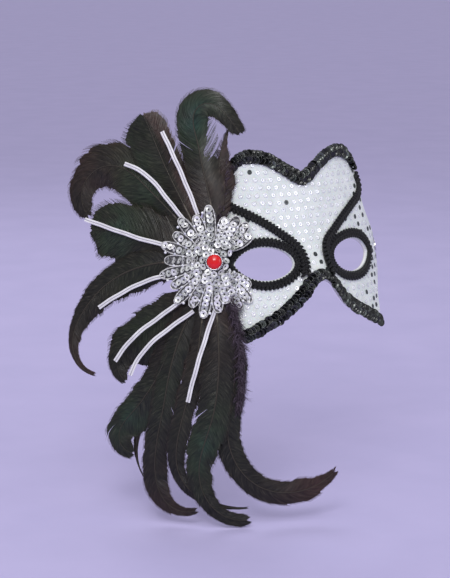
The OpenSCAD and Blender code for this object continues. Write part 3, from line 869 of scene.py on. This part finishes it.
def foil_dots():
    """Round foil dots in staggered rows over the fabric, a few of them dark: a painted dark reflection
    in mirror foil.
    """
    rows = np.arange(-50, 76, DOT_PITCH * 0.87)
    cols = np.arange(-92, 93, DOT_PITCH)
    spots = np.array([(u + DOT_PITCH / 2 * (i % 2), v) for i, v in enumerate(rows) for u in cols])
    spots = spots + rng.uniform(-DOT_JITTER, DOT_JITTER, spots.shape)
    loop, edge_n = half_loop()
    edge = loop[:edge_n + 1]
    shrink = edge + unit(np.array(HALF_CENTRE) - edge) * DOT_EDGE_GAP
    flat = np.abs(spots) * [1, 0] + spots * [0, 1]
    polygon = np.concatenate([shrink, [[-1, 52], [-1, -8]]])
    away = (flat - [EYE_U, EYE_V]) / [EYE_A + DOT_EYE_GAP, EYE_B + DOT_EYE_GAP]
    spots = spots[inside_polygon(flat, polygon) & ((away ** 2).sum(-1) > 1)]
    u, v = spots[:, 0], spots[:, 1]
    normal = skin_normal(u, v)
    axes = axes_from(np.cross([0, 0, 1.0], normal), normal)
    axes = turned(axes, 0, 2, rng.normal(0, DOT_TILT, len(u)))
    axes = turned(axes, 1, 2, rng.normal(0, DOT_TILT, len(u)))
    # Painted reflection: a few dots turn dark, and about half of them towards the outer edge of the half
    # without the flower.
    dark = rng.uniform(0, 1, len(u)) < 0.045 + 0.5 * smooth(36, 54, u)
    chance = np.where(dark, rng.uniform(0.6, 1.0, len(u)), rng.uniform(0.0, 0.42, len(u)))
    pile = Pile("chance")
    pile.stamp(sequin_shape(DOT_R, 0.12, 0.04, 0.06), skin_at(spots, FRONT_H + DOT_RISE), axes,
               chance=chance)
    return pile.object("foil_dots", foil_dot())


# ---- Braid and sequin trim ----
def walk(path, pitch, closed=False):
    """Even steps along a (u, v) path laid on the skin: places in (u, v) and headings."""
    path = np.concatenate([path, path[:1]]) if closed else path
    space = skin_at(path, FRONT_H)
    run = np.concatenate([[0], np.cumsum(np.linalg.norm(np.diff(space, axis=0), axis=1))])
    count = int(round(run[-1] / pitch))
    at = np.arange(count) * run[-1] / count if closed else np.linspace(0, run[-1], count + 1)

    def uv(s):
        s = s % run[-1] if closed else np.clip(s, 0, run[-1])
        return np.stack([np.interp(s, run, path[:, i]) for i in (0, 1)], -1)

    e = 0.6
    ahead = unit(uv(at + e) - uv(at - e))
    return uv(at), ahead


def laid_axes(uv, ahead):
    """Axes in space with x along the path and z out of the skin."""
    e = 0.3
    tip, tail = uv + e * ahead, uv - e * ahead
    forward = skin_at(tip, FRONT_H) - skin_at(tail, FRONT_H)
    return axes_from(forward, skin_normal(uv[:, 0], uv[:, 1]))


BRAID_PITCH = 2.6
BRAID_LOBE = (2.05, 1.0, 1.0)
BRAID_LOBE_OUT = 1.5
BRAID_LOBE_TURN = math.radians(52)
BRAID_LOBE_RISE = 0.75
BRAID_KNOT = (1.1, 0.75, 0.7)
BRAID_KNOT_PITCH = 1.6
BRAID_KNOT_TURN = math.radians(30)
BRAID_KNOT_RISE = 1.2


def gimp_braid(name, path, closed=False, rise=lambda uv: 0 * uv[:, 0]):
    """Two columns of slanted lobes that meet in a plaited middle, over a flat band."""
    pile = Pile("across")

    def lay(shape, spot, ahead, turn, height):
        axes = turned(laid_axes(spot, ahead), 0, 1, turn)
        places = skin_at(spot, FRONT_H + TRIM_GAP + height + rise(spot))
        pile.stamp(shape, places, axes, across=shape[0][:, 1])

    uv, ahead = walk(path, BRAID_PITCH, closed)
    side = left_of(ahead)
    lobe = scaled(bead_shape(7, 12), *BRAID_LOBE)
    for hand in (1, -1):
        step = 0.5 * BRAID_PITCH if hand < 0 else 0
        spot = uv + hand * BRAID_LOBE_OUT * side + step * ahead
        lay(lobe, spot, ahead, hand * BRAID_LOBE_TURN, BRAID_LOBE_RISE)
    core, core_ahead = walk(path, BRAID_KNOT_PITCH, closed)
    lay(scaled(bead_shape(5, 8), *BRAID_KNOT), core, core_ahead, BRAID_KNOT_TURN, BRAID_KNOT_RISE)
    flat_band(pile, path, BRAID_W * 0.4, 0.5, closed)
    return pile.object(name, gimp_material)


def flat_band(pile, path, half_width, thick, closed=False):
    """The flat tape under a braid or a trim."""
    uv, ahead = walk(path, 2.0, closed)
    side = left_of(ahead)
    rows = []
    for across, height in ((-1, 0.1), (1, 0.1), (1, thick), (-1, thick)):
        spot = uv + across * half_width * side
        rows.append(skin_at(spot, FRONT_H + height))
    points = np.stack(rows, 1)
    faces = [grid_faces(len(uv), 4, wrap_rows=closed, wrap_cols=True)]
    if not closed:
        faces += [np.array([[3, 2, 1, 0]]), 4 * (len(uv) - 1) + np.array([[0, 1, 2, 3]])]
    pile.add(points, faces)


TRIM_SEQUIN_R = 2.7
TRIM_PITCH = 2.5
TRIM_SHINGLE = math.radians(24)
TRIM_LEAN = math.radians(14)
TRIM_JITTER = 0.16
TRIM_SLIP = 0.22
TRIM_RISE = 1.1
TRIM_TAPE_HALF = 2.2


def sequin_trim(name, path, reach):
    """Overlapping cupped black sequins sewn in two rows, tilted like shingles."""
    pile = Pile("chance")
    shape = sequin_shape(TRIM_SEQUIN_R, 0.45, 0.75)
    for hand in (-1, 1):
        uv, ahead = walk(path, TRIM_PITCH)
        side = left_of(ahead)
        spread = reach(uv[:, 0])[:, None]
        shift = (TRIM_PITCH / 2 if hand < 0 else 0) * ahead
        spot = uv + hand * spread * side + shift + rng.normal(0, TRIM_SLIP, uv.shape)
        axes = laid_axes(spot, ahead)
        n = len(spot)
        axes = turned(axes, 0, 2, TRIM_SHINGLE + rng.normal(0, TRIM_JITTER, n))
        axes = turned(axes, 1, 2, -hand * TRIM_LEAN + rng.normal(0, TRIM_JITTER, n))
        height = FRONT_H + TRIM_RISE + rng.uniform(0, 0.5, n)
        # Squared chances keep most sequins near black; the few high ones are painted glints.
        pile.stamp(shape, skin_at(spot, height), axes, chance=rng.uniform(0, 1, n) ** 2)
    flat_band(pile, path, TRIM_TAPE_HALF, 0.6)
    return pile.object(name, black_sequin())


# ---- Feathers ----
def blade_width(t, width, fall, tip):
    return width * (0.45 + 0.55 * smooth(0, 0.28, t)) * (1 + (tip - 1) * smooth(fall, 1, t))


def bell(t, centre, spread):
    return np.exp(-((t - centre) / spread) ** 2)


def clump_noise(count, low, high, amount, seed):
    """A number for each barb that jumps from one clump of barbs to the next."""
    dice = np.random.default_rng(seed)
    out = np.zeros(count)
    i = 0
    while i < count:
        step = int(dice.integers(low, high))
        out[i:i + step] = dice.normal(0, amount)
        i += step
    return out


# Barbs leave the shaft every ROW_PITCH mm, from BARE_SHARE to VANE_END of its length.
ROW_PITCH = 0.5
BARE_SHARE = 0.06
VANE_END = 0.985
VANE_POINTS = 9
FRINGE_POINTS = 4
SPINE_POINTS = 400
# Share of a barb that hangs together with its neighbours, and how much less where it is lace.
EDGE_SHARE = 0.9
LACE_CUT = 0.72
LACE_SHIFT = 1.6
# Mm by which a clump of barbs laps over the next, by which a vane sags, and half a hair's width.
CLUMP_LAP = 0.45
VANE_SAG = 1.5
HAIR_HALF = 0.2
HAIR_STRAY = 0.35
SHAFT_R = (0.55, 0.1)


def feather_depth(t, layer, curl):
    """Height of a shaft above the cover: layers fan apart a little away from the root."""
    fan = (layer - 3) * 0.7 * smooth(0.1, 0.6, t)
    return FIRST_LAYER + LAYER_RISE * layer + 0.3 + fan + curl * smooth(0.45, 1, t)


def beside(path, heading, length, x, w):
    """Points w to the left of a shaft at x from its root; beyond its tip it runs straight on."""
    run = np.linspace(0, length, len(path))
    spot = np.stack([np.interp(x, run, path[:, i]) for i in (0, 1)], -1)
    turn = np.interp(x, run, heading)
    return (spot + np.maximum(x - length, 0)[..., None] * heading_vector(turn)
            + w[..., None] * heading_vector(turn + 90))


def vane_reach(x, lean, length, width, fall, tip, round_share):
    """Where the tips of the barbs that leave the shaft at x lie: how far on, and how far out."""
    rounding = max(width * tip * round_share, 2)
    low, high = x.copy(), np.full(len(x), length)
    for _ in range(20):
        mid = (low + high) / 2
        blunt = np.clip((mid - (length - rounding)) / rounding, 0, 1)
        out = blade_width(mid / length, width, fall, tip) / 2 * np.sqrt(1 - blunt ** 2)
        inside = (mid - x) * np.tan(lean) < out
        low, high = np.where(inside, mid, low), np.where(inside, high, mid)
    return low - x, (low - x) * np.tan(lean)


def feather(name, blade, seed, green, brown, curl=0.0, right_wide=1.0, ragged=1.0, angle=(52, 30),
            side_brown=0.0, side_green=0.0, lace=None, inside=0.9, round_share=0.5):
    """A shaft with two vanes: hand is 1 for the one on the left as it grows, -1 for the right.

    green and brown are centre, spread and strength along the shaft, and side_green and side_brown
    add to them towards the edge of the left and of the right vane. lace is hand, centre and
    spread of a stretch whose barbs have come apart. inside limits the width on the inner side of
    a bend, and round_share tells how much of the tip is round."""
    root, headings, length, width, fall, tip, layer = blade
    pile = Pile("green", "brown", "shaft", "along", "out")
    t, path, heading = spine(root, headings, length, SPINE_POINTS)
    turn = np.gradient(np.radians(heading), t * length)
    dice = np.random.default_rng(seed)
    phase = dice.uniform(0, 6, 3)
    thin = np.arange(0, SPINE_POINTS, 6)
    line = spray_at(path[thin], feather_depth(t[thin], layer, curl) + 0.12)
    tube(pile, line, np.linspace(*SHAFT_R, len(thin)), sides=6, shaft=1.0)

    def spots(x, w, depth):
        return spray_at(beside(path, heading, length, x, w), depth)

    def looks(x, s, hand, barb):
        tt = np.clip(x / length, 0, 1)
        # The green mark is partly the feathers' own green and partly a painted iridescent sheen.
        g = green[2] * bell(tt, green[0], green[1]) * (1 - 0.4 * s) + side_green * (hand > 0) * s
        b = brown[2] * bell(tt, brown[0], brown[1]) + 0.3 * smooth(0.75, 1, s)
        b = b + side_brown * (hand < 0) * smooth(0.05, 0.4, s)
        return dict(green=np.clip(g, 0, 1), brown=np.clip(b, 0, 1),
                    along=barb + 1000 * (seed % 50) + 300 * (hand < 0), out=s * width / 2)

    count = int(length * (VANE_END - BARE_SHARE) / ROW_PITCH)
    rows = np.arange(count)
    for hand in (1, -1):
        x = length * BARE_SHARE + rows * ROW_PITCH
        ti = x / length
        lean = np.radians(angle[0] + (angle[1] - angle[0]) * ti)
        share = right_wide if hand < 0 else 1 / right_wide
        run, half = vane_reach(x, lean, length, width * share, fall, tip, round_share)
        shift = clump_noise(count, 7, 26, 0.55, seed + hand) * ragged
        shift += clump_noise(count, 3, 9, 0.16, seed + 5 + hand)
        half = half * (1 + ragged * (clump_noise(count, 6, 22, 0.05, seed + 10 + hand)
                                     + clump_noise(count, 2, 6, 0.02, seed + 15 + hand)))
        lift = clump_noise(count, 7, 26, 0.22, seed + hand) * ragged
        edge = np.full(count, EDGE_SHARE)
        if lace and lace[0] == hand:
            apart = bell(ti, lace[1], lace[2])
            edge -= LACE_CUT * apart
            shift += clump_noise(count, 3, 8, LACE_SHIFT, seed + 40) * apart

        def barbs(s, i, extra=0.0):
            """Points at share s of the barbs i."""
            ahead = x[i][:, None] + run[i][:, None] * (0.6 * s + 0.4 * s ** 2)
            ahead = ahead + (shift[i][:, None] + extra) * s
            here = np.clip(ahead / length, 0, 1)
            tight = inside / np.maximum(np.interp(here, t, turn) * hand, 0.0001)
            w = half[i][:, None] * s
            w = tight * np.tanh(w / tight)
            sag = -VANE_SAG * (half[i] / 12)[:, None] * s ** 2
            ripple = s * np.sin(ahead / 9 + phase[1 + hand]) * (half[i] / 10)[:, None]
            depth = feather_depth(here, layer, curl) + sag + ripple + lift[i][:, None] * s
            return ahead, hand * w, depth

        breaks = np.flatnonzero(np.diff(shift, prepend=shift[0] + 1))
        for start, end in zip(breaks, np.append(breaks[1:], count)):
            i = np.concatenate([[start], np.arange(start, end), [end - 1]])
            lap = np.zeros((len(i), 1))
            lap[0], lap[-1] = -CLUMP_LAP, CLUMP_LAP
            s = np.linspace(0, 1, VANE_POINTS) * edge[i][:, None]
            ahead, w, depth = barbs(s, i, lap)
            ahead = ahead + lap
            depth = depth + 0.05 * ((start % 3) - 1)
            pile.add(spots(ahead, w, depth), grid_faces(len(i), VANE_POINTS),
                     **looks(ahead, s, hand, x[i][:, None] + 0 * s))
        fuzz = dice.normal(0, HAIR_STRAY, count)
        along = np.linspace(0, 1, FRINGE_POINTS)
        s = edge[:, None] - 0.12 + (1.02 - edge + 0.12)[:, None] * along
        ahead, w, depth = barbs(s, rows, fuzz[:, None] * (s - 0.6))
        hair = HAIR_HALF * (1 - 0.7 * along ** 2)
        strip = np.stack([spots(ahead - hair, w, depth), spots(ahead + hair, w, depth)], 2)
        faces = (rows * FRINGE_POINTS * 2)[:, None, None] + grid_faces(FRINGE_POINTS, 2)[None]
        marks = looks(ahead, s, hand, x[:, None] + 0 * s)
        marks = {key: np.repeat(np.ravel(value), 2) for key, value in marks.items()}
        pile.add(strip, faces.reshape(-1, 4), **marks)
    return pile.object(name, feather_material)


def finish_plume(obj, node):
    """Bakes a piece's place into its mesh and hides its CAD node."""
    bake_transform(obj)
    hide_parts(node)


BUNCH = 6
STRAND_POINTS = 7


def down_tuft(name, root, headings, length, reach, count, seed, strand, lean, heights):
    """Loose down: thin wavy strands in small bunches that leave a hidden shaft at each side.

    reach is the widest angle to the shaft, strand and heights are ranges in mm, and lean runs
    from -1, all to the left of the shaft, to 1, all to its right."""
    dice = np.random.default_rng(seed)
    pile = Pile("chance")
    t, path, heading = spine(root, headings, length, 60)
    s = np.linspace(0, 1, STRAND_POINTS)
    for _ in range(count // BUNCH):
        at = dice.uniform(0.0, 1.0)
        base = np.array([np.interp(at, t, path[:, i]) for i in (0, 1)]) + dice.normal(0, 1.2, 2)
        away = dice.choice([-1, 1], p=[0.5 - lean / 2, 0.5 + lean / 2])
        start = np.interp(at, t, heading) - away * dice.uniform(8, reach)
        size = dice.uniform(*strand) * (1 - 0.5 * at)
        wander = dice.normal(0, 20)
        height = dice.uniform(*heights)
        for _ in range(BUNCH):
            angles = start + dice.normal(0, 9) + (wander + dice.normal(0, 14)) * s
            angles = angles + 8 * np.sin(s * 9 + dice.uniform(0, 6))
            step = heading_vector(angles[1:]) * size * dice.uniform(0.6, 1) / (STRAND_POINTS - 1)
            line = np.concatenate([[base], base + np.cumsum(step, 0)])
            depth = height + dice.normal(0, 0.5) + dice.normal(0, 1.2) * s
            side = heading_vector(angles + 90) * (dice.uniform(0.05, 0.13) * (1.1 - s))[:, None]
            rows = [spray_at(line + e * side, depth) for e in (-1, 1)]
            pile.add(np.stack(rows, 1), grid_faces(STRAND_POINTS, 2), chance=dice.uniform(0, 1))
    return pile.object(name, down_material)


# ---- Satin strips ----
STRIP_HALF = 1.4
STRIP_ROWS = 40
# The ribbon's section: half of its face, from the edge inwards, its middle and its flat back.
# Each point is across in half widths, and high in mm.
STRIP_FRONT = [(-1, 0), (-0.8, 0.42), (-0.5, 0.55), (-0.2, 0.3)]
STRIP_MIDDLE = [(0, 0.2)]
STRIP_BACK = [(0.6, -0.12), (0, -0.15), (-0.6, -0.12)]


def satin_strip(name, strip, seed):
    """A folded ribbon with two raised edges, a little kinked, cut square at its end."""
    dice = np.random.default_rng(seed)
    t, path, heading = spine(*strip, STRIP_ROWS)
    sway = dice.normal(0, 0.35) * np.sin(t * dice.uniform(5, 8)) + 0.12 * np.sin(t * 21)
    side = heading_vector(heading + 90)
    path = path + side * sway[:, None]
    rise = FIRST_LAYER + LAYER_RISE * STRIP_LAYER + 0.6 + 2.6 * smooth(0, 0.7, t)
    rise = rise + 0.25 * np.sin(t * dice.uniform(9, 14))
    other_half = [(-a, b) for a, b in STRIP_FRONT[::-1]]
    profile = STRIP_FRONT + STRIP_MIDDLE + other_half + STRIP_BACK
    points = []
    for a, b in profile:
        q = path + side * a * STRIP_HALF * (0.9 + 0.1 * smooth(0, 0.2, t))[:, None]
        points.append(spray_at(q, rise + b))
    points = np.stack(points, 1)
    # Across each ribbon's section: the satin material paints shade into its middle groove from this
    # mark.
    pile = Pile("across")
    pile.add(points, capped(STRIP_ROWS, len(profile)),
             across=np.tile([a for a, b in profile], STRIP_ROWS))
    obj = pile.object(name, satin_material)
    sharpen(obj, math.radians(50))
    return obj


# ---- The flower ----
FAN_COUNT = 12
FAN_FROM = 97
FAN_STEP = 16.2
LOBE_COUNT = 4
LOBE_STEP = 13
LOBE_TOP_FROM = 38
LOBE_LOW_FROM = -34
PETAL_LONG = 36
PETAL_SHORT = 32
PETAL_FROM = 13
PETAL_HALF = 3.3


def petals():
    """Direction, length and kind of each petal; kind 1 is a face-side lobe."""
    fan = [(FAN_FROM + FAN_STEP * i, PETAL_LONG if i % 2 == 0 else PETAL_SHORT, 0)
           for i in range(FAN_COUNT)]
    wave = [math.sin(math.radians(60 * i)) for i in range(LOBE_COUNT)]
    top = [(LOBE_TOP_FROM + LOBE_STEP * i, PETAL_SHORT - 3 + 4 * wave[i], 1)
           for i in range(LOBE_COUNT)]
    low = [(LOBE_LOW_FROM - LOBE_STEP * i, PETAL_SHORT - 5 + 8 * wave[i], 1)
           for i in range(LOBE_COUNT)]
    return fan + top + low


def on_flower(pq, h):
    return spray_at(pq, lobe_n(pq[..., 0]) + BACKING_T + h)


def flower_axes(pq, ahead):
    e = 0.4
    forward = on_flower(pq + e * ahead, 0) - on_flower(pq - e * ahead, 0)
    return axes_from(forward, dome_normal(pq[:, 0], pq[:, 1]))


def petal_outline(direction, length, start=PETAL_FROM, half=PETAL_HALF, count=60):
    a = np.linspace(0, 2 * np.pi, count, endpoint=False)
    mid, reach = (start + length) / 2, (length - start) / 2
    x = mid + reach * np.cos(a)
    y = half * np.sign(np.sin(a)) * abs(np.sin(a)) ** 0.8 * (1 + 0.18 * np.cos(a))
    along, across = heading_vector(direction), heading_vector(direction + 90)
    return x[:, None] * along + y[:, None] * across


def bullion_line(pile, line, radius, height, pitch=0.85, closed=True):
    """A twisted thread: slanted beads packed along a line in (p, q)."""
    ring = np.concatenate([line, line[:1]]) if closed else line
    run = np.concatenate([[0], np.cumsum(np.linalg.norm(np.diff(ring, axis=0), axis=1))])
    at = np.arange(0, run[-1] - pitch / 2, pitch)
    spot = np.stack([np.interp(at, run, ring[:, i]) for i in (0, 1)], -1)
    near = np.stack([np.interp(np.minimum(at + 0.3, run[-1]), run, ring[:, i]) for i in (0, 1)], -1)
    ahead = unit(near - spot + 1e-9)
    axes = turned(flower_axes(spot, ahead), 0, 1, math.radians(35))
    bead = scaled(bead_shape(3, 6), radius * 1.15, radius * 0.8, radius)
    pile.stamp(bead, on_flower(spot, height), axes, chance=rng.uniform(0, 1, len(spot)))


SEQUIN_PITCH = 3.2
SEQUIN_END = 2.7
SEQUIN_TILT = 24
# Radius and count of the rings of sequins round the gem.
GEM_RINGS = ((11.0, 16), (7.6, 11))
RING_TILT = 20
RING_LIFT = 1.25
# The outer ring stops this many degrees short of the eye.
RING_OPEN = 30


def flower_sequins():
    """Cupped silver sequins down every petal and in rings round the gem, each over a flat dark disc of
    painted shade under its hole.
    """
    rows = []
    for direction, length, _ in petals():
        for k, r in enumerate(np.arange(length - SEQUIN_END, PETAL_FROM - 1, -SEQUIN_PITCH)):
            rows.append((direction, r, SEQUIN_TILT, 0.75 + 0.1 * k))
    for radius, count in GEM_RINGS:
        for direction in 360 / count * np.arange(count) + radius:
            if radius < PETAL_FROM - 3 or abs((direction + 180) % 360 - 180) >= RING_OPEN:
                rows.append((direction, radius, RING_TILT, RING_LIFT))
    direction, radius, tilt, lift = np.array(rows).T
    n = len(rows)
    aheads = heading_vector(direction)
    spots = aheads * radius[:, None] + rng.normal(0, 0.2, (n, 2))
    axes = flower_axes(spots, aheads)
    axes = turned(axes, 0, 2, np.radians(tilt) * -1 + rng.normal(0, 0.24, n))
    axes = turned(axes, 1, 2, rng.normal(0, 0.26, n))
    places = on_flower(spots, lift)
    pile = Pile("chance")
    # Each sequin's chance sets its tone from grey to white: painted glints and shade on copies of one
    # sequin.
    pile.stamp(sequin_shape(2.3, 0.62, 0.5), places, axes, chance=rng.uniform(0.2, 1, n))
    # Painted shade: a flat near-black disc under each sequin's hole darkens the hole.
    pile.stamp(scaled(bead_shape(3, 8), 0.9, 0.9, 0.08), places - 0.14 * axes[:, 2], axes,
               chance=0.0)
    return pile.object("flower_sequins", silver_sequin())


def flower_bullion():
    pile = Pile("chance")
    for direction, length, kind in petals():
        bullion_line(pile, petal_outline(direction, length), 0.5, 0.45)
        if kind:
            bullion_line(pile, petal_outline(direction, length - 3, PETAL_FROM + 5, 1.9), 0.38, 0.5)
    return pile.object("bullion_outlines", bullion())


def flower_beads():
    """Small clear beads scattered over the face-side lobes and between the petals."""
    pile = Pile("chance")
    spots = []
    for direction, length, kind in petals():
        out, side = heading_vector(direction), heading_vector(direction + 90)
        for r in np.arange(PETAL_FROM + 1, length - 3, 3.1 if kind else 6.0):
            spots.append(out * r + side * (FAN_STEP / 2 * math.pi / 180 * r * 0.9))
    spots = np.array(spots) + rng.normal(0, 0.25, (len(spots), 2))
    axes = flower_axes(spots, unit(spots))
    pile.stamp(scaled(bead_shape(5, 8), 0.95, 0.95, 0.8), on_flower(spots, 0.7), axes,
               chance=rng.uniform(0, 1, len(spots)))
    return pile.object("flower_beads", clear_bead())


PAD_CENTRE = -9
PAD_HALF = (12, 24)


def plate(name, rim, rings, height, thick, material, centre=0):
    """A closed plate over the spray from its centre (p, 0) to a rim in (p, q)."""
    n = len(rim)
    pile = Pile()
    scale = np.linspace(0.02, 1, rings)[:, None, None]
    pq = rim[None] * scale + [centre, 0]
    low = spray_at(pq, height(pq[..., 0]))
    high = spray_at(pq, height(pq[..., 0]) + thick)
    pile.add(low, [grid_faces(rings, n, wrap_cols=True), np.arange(n)[None]])
    pile.add(high, [grid_faces(rings, n, wrap_cols=True), np.arange(n)[None]])
    pile.add(np.stack([low[-1], high[-1]]), grid_faces(2, n, wrap_cols=True))
    obj = pile.object(name, material)
    tidy_mesh(obj)
    sharpen(obj)
    return obj


def rim_radius(a):
    """How far the flower's backing reaches in direction a, in degrees."""
    best = 7.6
    for direction, length, _ in petals():
        d = abs((a - direction + 540) % 360 - 180) / 9.5
        if d < 1:
            best = max(best, length * (1 - 0.22 * d * d))
    return best


GEM_TURNS = 48
GEM_CUP_BEADS = 30


def gem_pieces():
    """The red cabochon, and its cup with a beaded edge."""
    base = in_spray(0, 0, BACKING_N + BACKING_T + 0.3)
    axes = axes_from(SPRAY_P[None], SPRAY_N[None])[0]

    def lathe(profile):
        """A closed turned solid, its profile given as (radius, height)."""
        ring = circle(GEM_TURNS, axes[0], axes[1])
        pile = Pile("chance")
        pile.add(np.stack([base + r * ring + z * axes[2] for r, z in profile]),
                 capped(len(profile), GEM_TURNS))
        return pile

    up = np.radians(np.linspace(0, 84, 12))
    crown = [(GEM_R * math.cos(a) ** 0.85, 1.4 + 2.6 * math.sin(a)) for a in up]
    gem = lathe([(GEM_R * 0.96, 1.1)] + crown).object("red_cabochon", red_gem())
    tidy_mesh(gem)
    pile = lathe([(GEM_R + 0.2, 0), (GEM_R + 0.75, 0.2), (GEM_R + 0.7, 1.9), (GEM_R + 0.35, 2.3),
                  (GEM_R + 0.08, 2.1), (GEM_R + 0.05, 1.0), (GEM_R * 0.9, 0.9)])
    out = circle(GEM_CUP_BEADS, axes[0], axes[1])
    pile.stamp(scaled(bead_shape(4, 7), 0.48, 0.48, 0.48), base + (GEM_R + 0.85) * out + 1.1 * axes[2],
               axes_from(out, np.broadcast_to(axes[2], out.shape)), chance=0.5)
    return gem, pile.object("gem_cup", silver_metal)


QUILL_LENGTH = 22
QUILL_R = (0.9, 0.65)


def quill_bundle():
    """The bare ends of all the quills, from under the flower to where the vanes begin."""
    pile = Pile()
    for root, headings, length, *_, layer in CREST + SIDE + TAIL:
        t, path, _ = spine(root, headings, length, 200)
        line = spray_at(path[t * length < QUILL_LENGTH], FIRST_LAYER + LAYER_RISE * layer + 0.3)[::5]
        tube(pile, line, np.linspace(*QUILL_R, len(line)), sides=8)
    return pile.object("quill_bundle", quill_paint())


# ---- Put it together ----
add_camera()

shell_material = shell_plastic()
gimp_material = gimp()
feather_material = feather_paint()
down_material = down_paint()
satin_material = satin()
silver_metal = bright_metal("bright_silver", (0.6, 0.6, 0.62), (0.9, 0.9, 0.92))


def finish_piece(obj, body, slot, *nodes):
    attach(obj, body)
    if nodes:
        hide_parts(*nodes)


shell = skin_layer("shell_body", SHELL_H, COVER_H, shell_material)
finish_piece(shell, "mask", "shell", "mask_shell")
cover = skin_layer("glitter_cover", COVER_H + 0.01, FRONT_H, glitter_fabric())
finish_piece(cover, "mask", "glitter_fabric", "fabric_cover")
lining = skin_layer("felt_lining", 0.0, SHELL_H - 0.01,
                    felt("lining_felt", (0.5, 0.49, 0.47), (0.72, 0.71, 0.68)))
finish_piece(lining, "mask", "lining_felt", "lining")
finish_piece(foil_dots(), "mask", "glitter_fabric")

for hand, name in ((1, "left"), (-1, "right")):
    angle = np.linspace(0, 2 * np.pi, 240, endpoint=False)
    ring = eye_edge(angle, TRIM_GAP + BRAID_W / 2) * [hand, 1]
    braid = gimp_braid(f"eye_gimp_{name}", ring, closed=True)
    finish_piece(braid, "mask", "gimp_braid", f"eye_braid_{name}")
    route = spline(with_ghosts(BROW), np.linspace(0, 1, 120)) * [hand, 1]
    braid = gimp_braid(f"brow_gimp_{name}", route, rise=lambda uv: 1.3 * smooth(16, -2, uv[:, 1]))
    finish_piece(braid, "mask", "gimp_braid", f"brow_braid_{name}")

TRIMS = [
    ("top", TOP_TRIM, lambda u: 1.75 - 1.2 * smooth(38, 50, abs(u))),
    ("lower", LOWER_TRIM, lambda u: 1.2 + 0.5 * smooth(6, 20, abs(u))),
]
for name, route, reach in TRIMS:
    trim = sequin_trim(f"{name}_sequins", both_halves(route, 120), reach)
    finish_piece(trim, "mask", "black_sequins", f"{name}_sequin_trim")

angles = np.arange(0, 360, 1.5)
rim = np.array([rim_radius(a) * heading_vector(a) for a in angles])
backing = plate("flower_backing", rim, 14, lobe_n, BACKING_T, net())
finish_piece(backing, "mask", "applique_net", "applique_backing")
finish_piece(flower_sequins(), "mask", "silver_sequins", "applique_sequins")
finish_piece(flower_bullion(), "mask", "bullion", "bullion_cord")
finish_piece(flower_beads(), "mask", "silver_sequins")
gem, cup = gem_pieces()
finish_piece(gem, "mask", "red_gem", "red_gem")
finish_piece(cup, "mask", "gem_metal", "gem_setting")
turn = np.radians(angles)
pad_rim = np.stack([PAD_HALF[0] * np.cos(turn), PAD_HALF[1] * np.sin(turn)], -1)
pad = plate("felt_pad", pad_rim, 10, lambda p: 0.35 + 0 * p, 0.45,
            felt("black_felt", (0.01, 0.01, 0.012), (0.03, 0.03, 0.035)), PAD_CENTRE)
cut(pad, eyelet_drill(-1, EYELET_PUNCH))
finish_piece(pad, "mask", "base_felt", "felt_base")
finish_piece(quill_bundle(), "mask", "quill", "quill_roots")

LOOKS = {
    "crest": [
        dict(green=(0.62, 0.22, 1.0), brown=(0.15, 0.2, 0.3), curl=4, lace=(-1, 0.4, 0.07),
             inside=3.0),
        dict(green=(0.3, 0.2, 0.1), brown=(0.6, 0.5, 0.7), ragged=1.3, lace=(1, 0.8, 0.25)),
    ],
    "side": [
        dict(green=(0.6, 0.3, 0.2), brown=(0.1, 0.3, 0.3), side_brown=0.75, side_green=0.5,
             right_wide=0.85, angle=(52, 42), round_share=0.12, ragged=1.3),
        dict(green=(0.4, 0.25, 0.7), brown=(0.75, 0.2, 0.4), curl=-3, inside=2.4),
        dict(green=(0.75, 0.3, 0.85), brown=(0.1, 0.2, 0.3), angle=(52, 40), round_share=0.15,
             ragged=1.2),
        dict(green=(0.3, 0.15, 0.3), brown=(1.0, 0.2, 0.8), curl=3, right_wide=0.8),
    ],
    "tail": [
        dict(green=(0.5, 0.25, 0.5), brown=(0.1, 0.2, 0.3), ragged=1.2, right_wide=0.72, inside=2.0),
        dict(green=(0.75, 0.2, 0.8), brown=(0.2, 0.2, 0.2), inside=2.0, right_wide=0.8,
             round_share=0.3),
        dict(green=(0.6, 0.2, 0.2), brown=(0.8, 0.3, 0.3)),
        dict(green=(0.4, 0.2, 0.4), brown=(0.95, 0.2, 0.4)),
        dict(green=(0.4, 0.2, 0.3), brown=(0.3, 0.2, 0.2)),
        dict(green=(0.6, 0.18, 0.85), brown=(0.1, 0.15, 0.3)),
        dict(green=(0.35, 0.2, 0.3), brown=(0.95, 0.15, 0.8)),
    ],
}
seed = 100
for group, blades in (("crest", CREST), ("side", SIDE), ("tail", TAIL)):
    for i, (blade, look) in enumerate(zip(blades, LOOKS[group]), 1):
        seed += 1
        obj = feather(f"{group}_plume_{i}", blade, seed, **look)
        finish_plume(obj, f"{group}_feather_{i}")

for i, strip in enumerate(STRIPS):
    group = "side" if i < SIDE_STRIPS else "tail"
    obj = satin_strip(f"ribbon_{i + 1}", strip, 200 + i)
    finish_plume(obj, f"satin_strip_{i + 1}")

tuft = down_tuft("down_upper", (1, 21), (82, 80, 70), 40, 50, 1400, 301, (4, 9), 0.0, (1.5, 6))
finish_plume(tuft, "tuft_upper")
tuft = down_tuft("down_lower", (8, -17), (-72, -84, -96), 78, 55, 3400, 302, (6, 13), -0.35, (3, 7))
finish_plume(tuft, "tuft_lower")

eyelet_material = bright_metal("eyelet_steel", (0.5, 0.5, 0.5), (0.75, 0.75, 0.76))
for node, material in (("eyelet_left", eyelet_material), ("eyelet_right", eyelet_material),
                       ("glue_core", glue())):
    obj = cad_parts[node]
    obj.data.materials.clear()
    obj.data.materials.append(material)

add_stage(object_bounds()[0][2] - FLOOR_DROP)
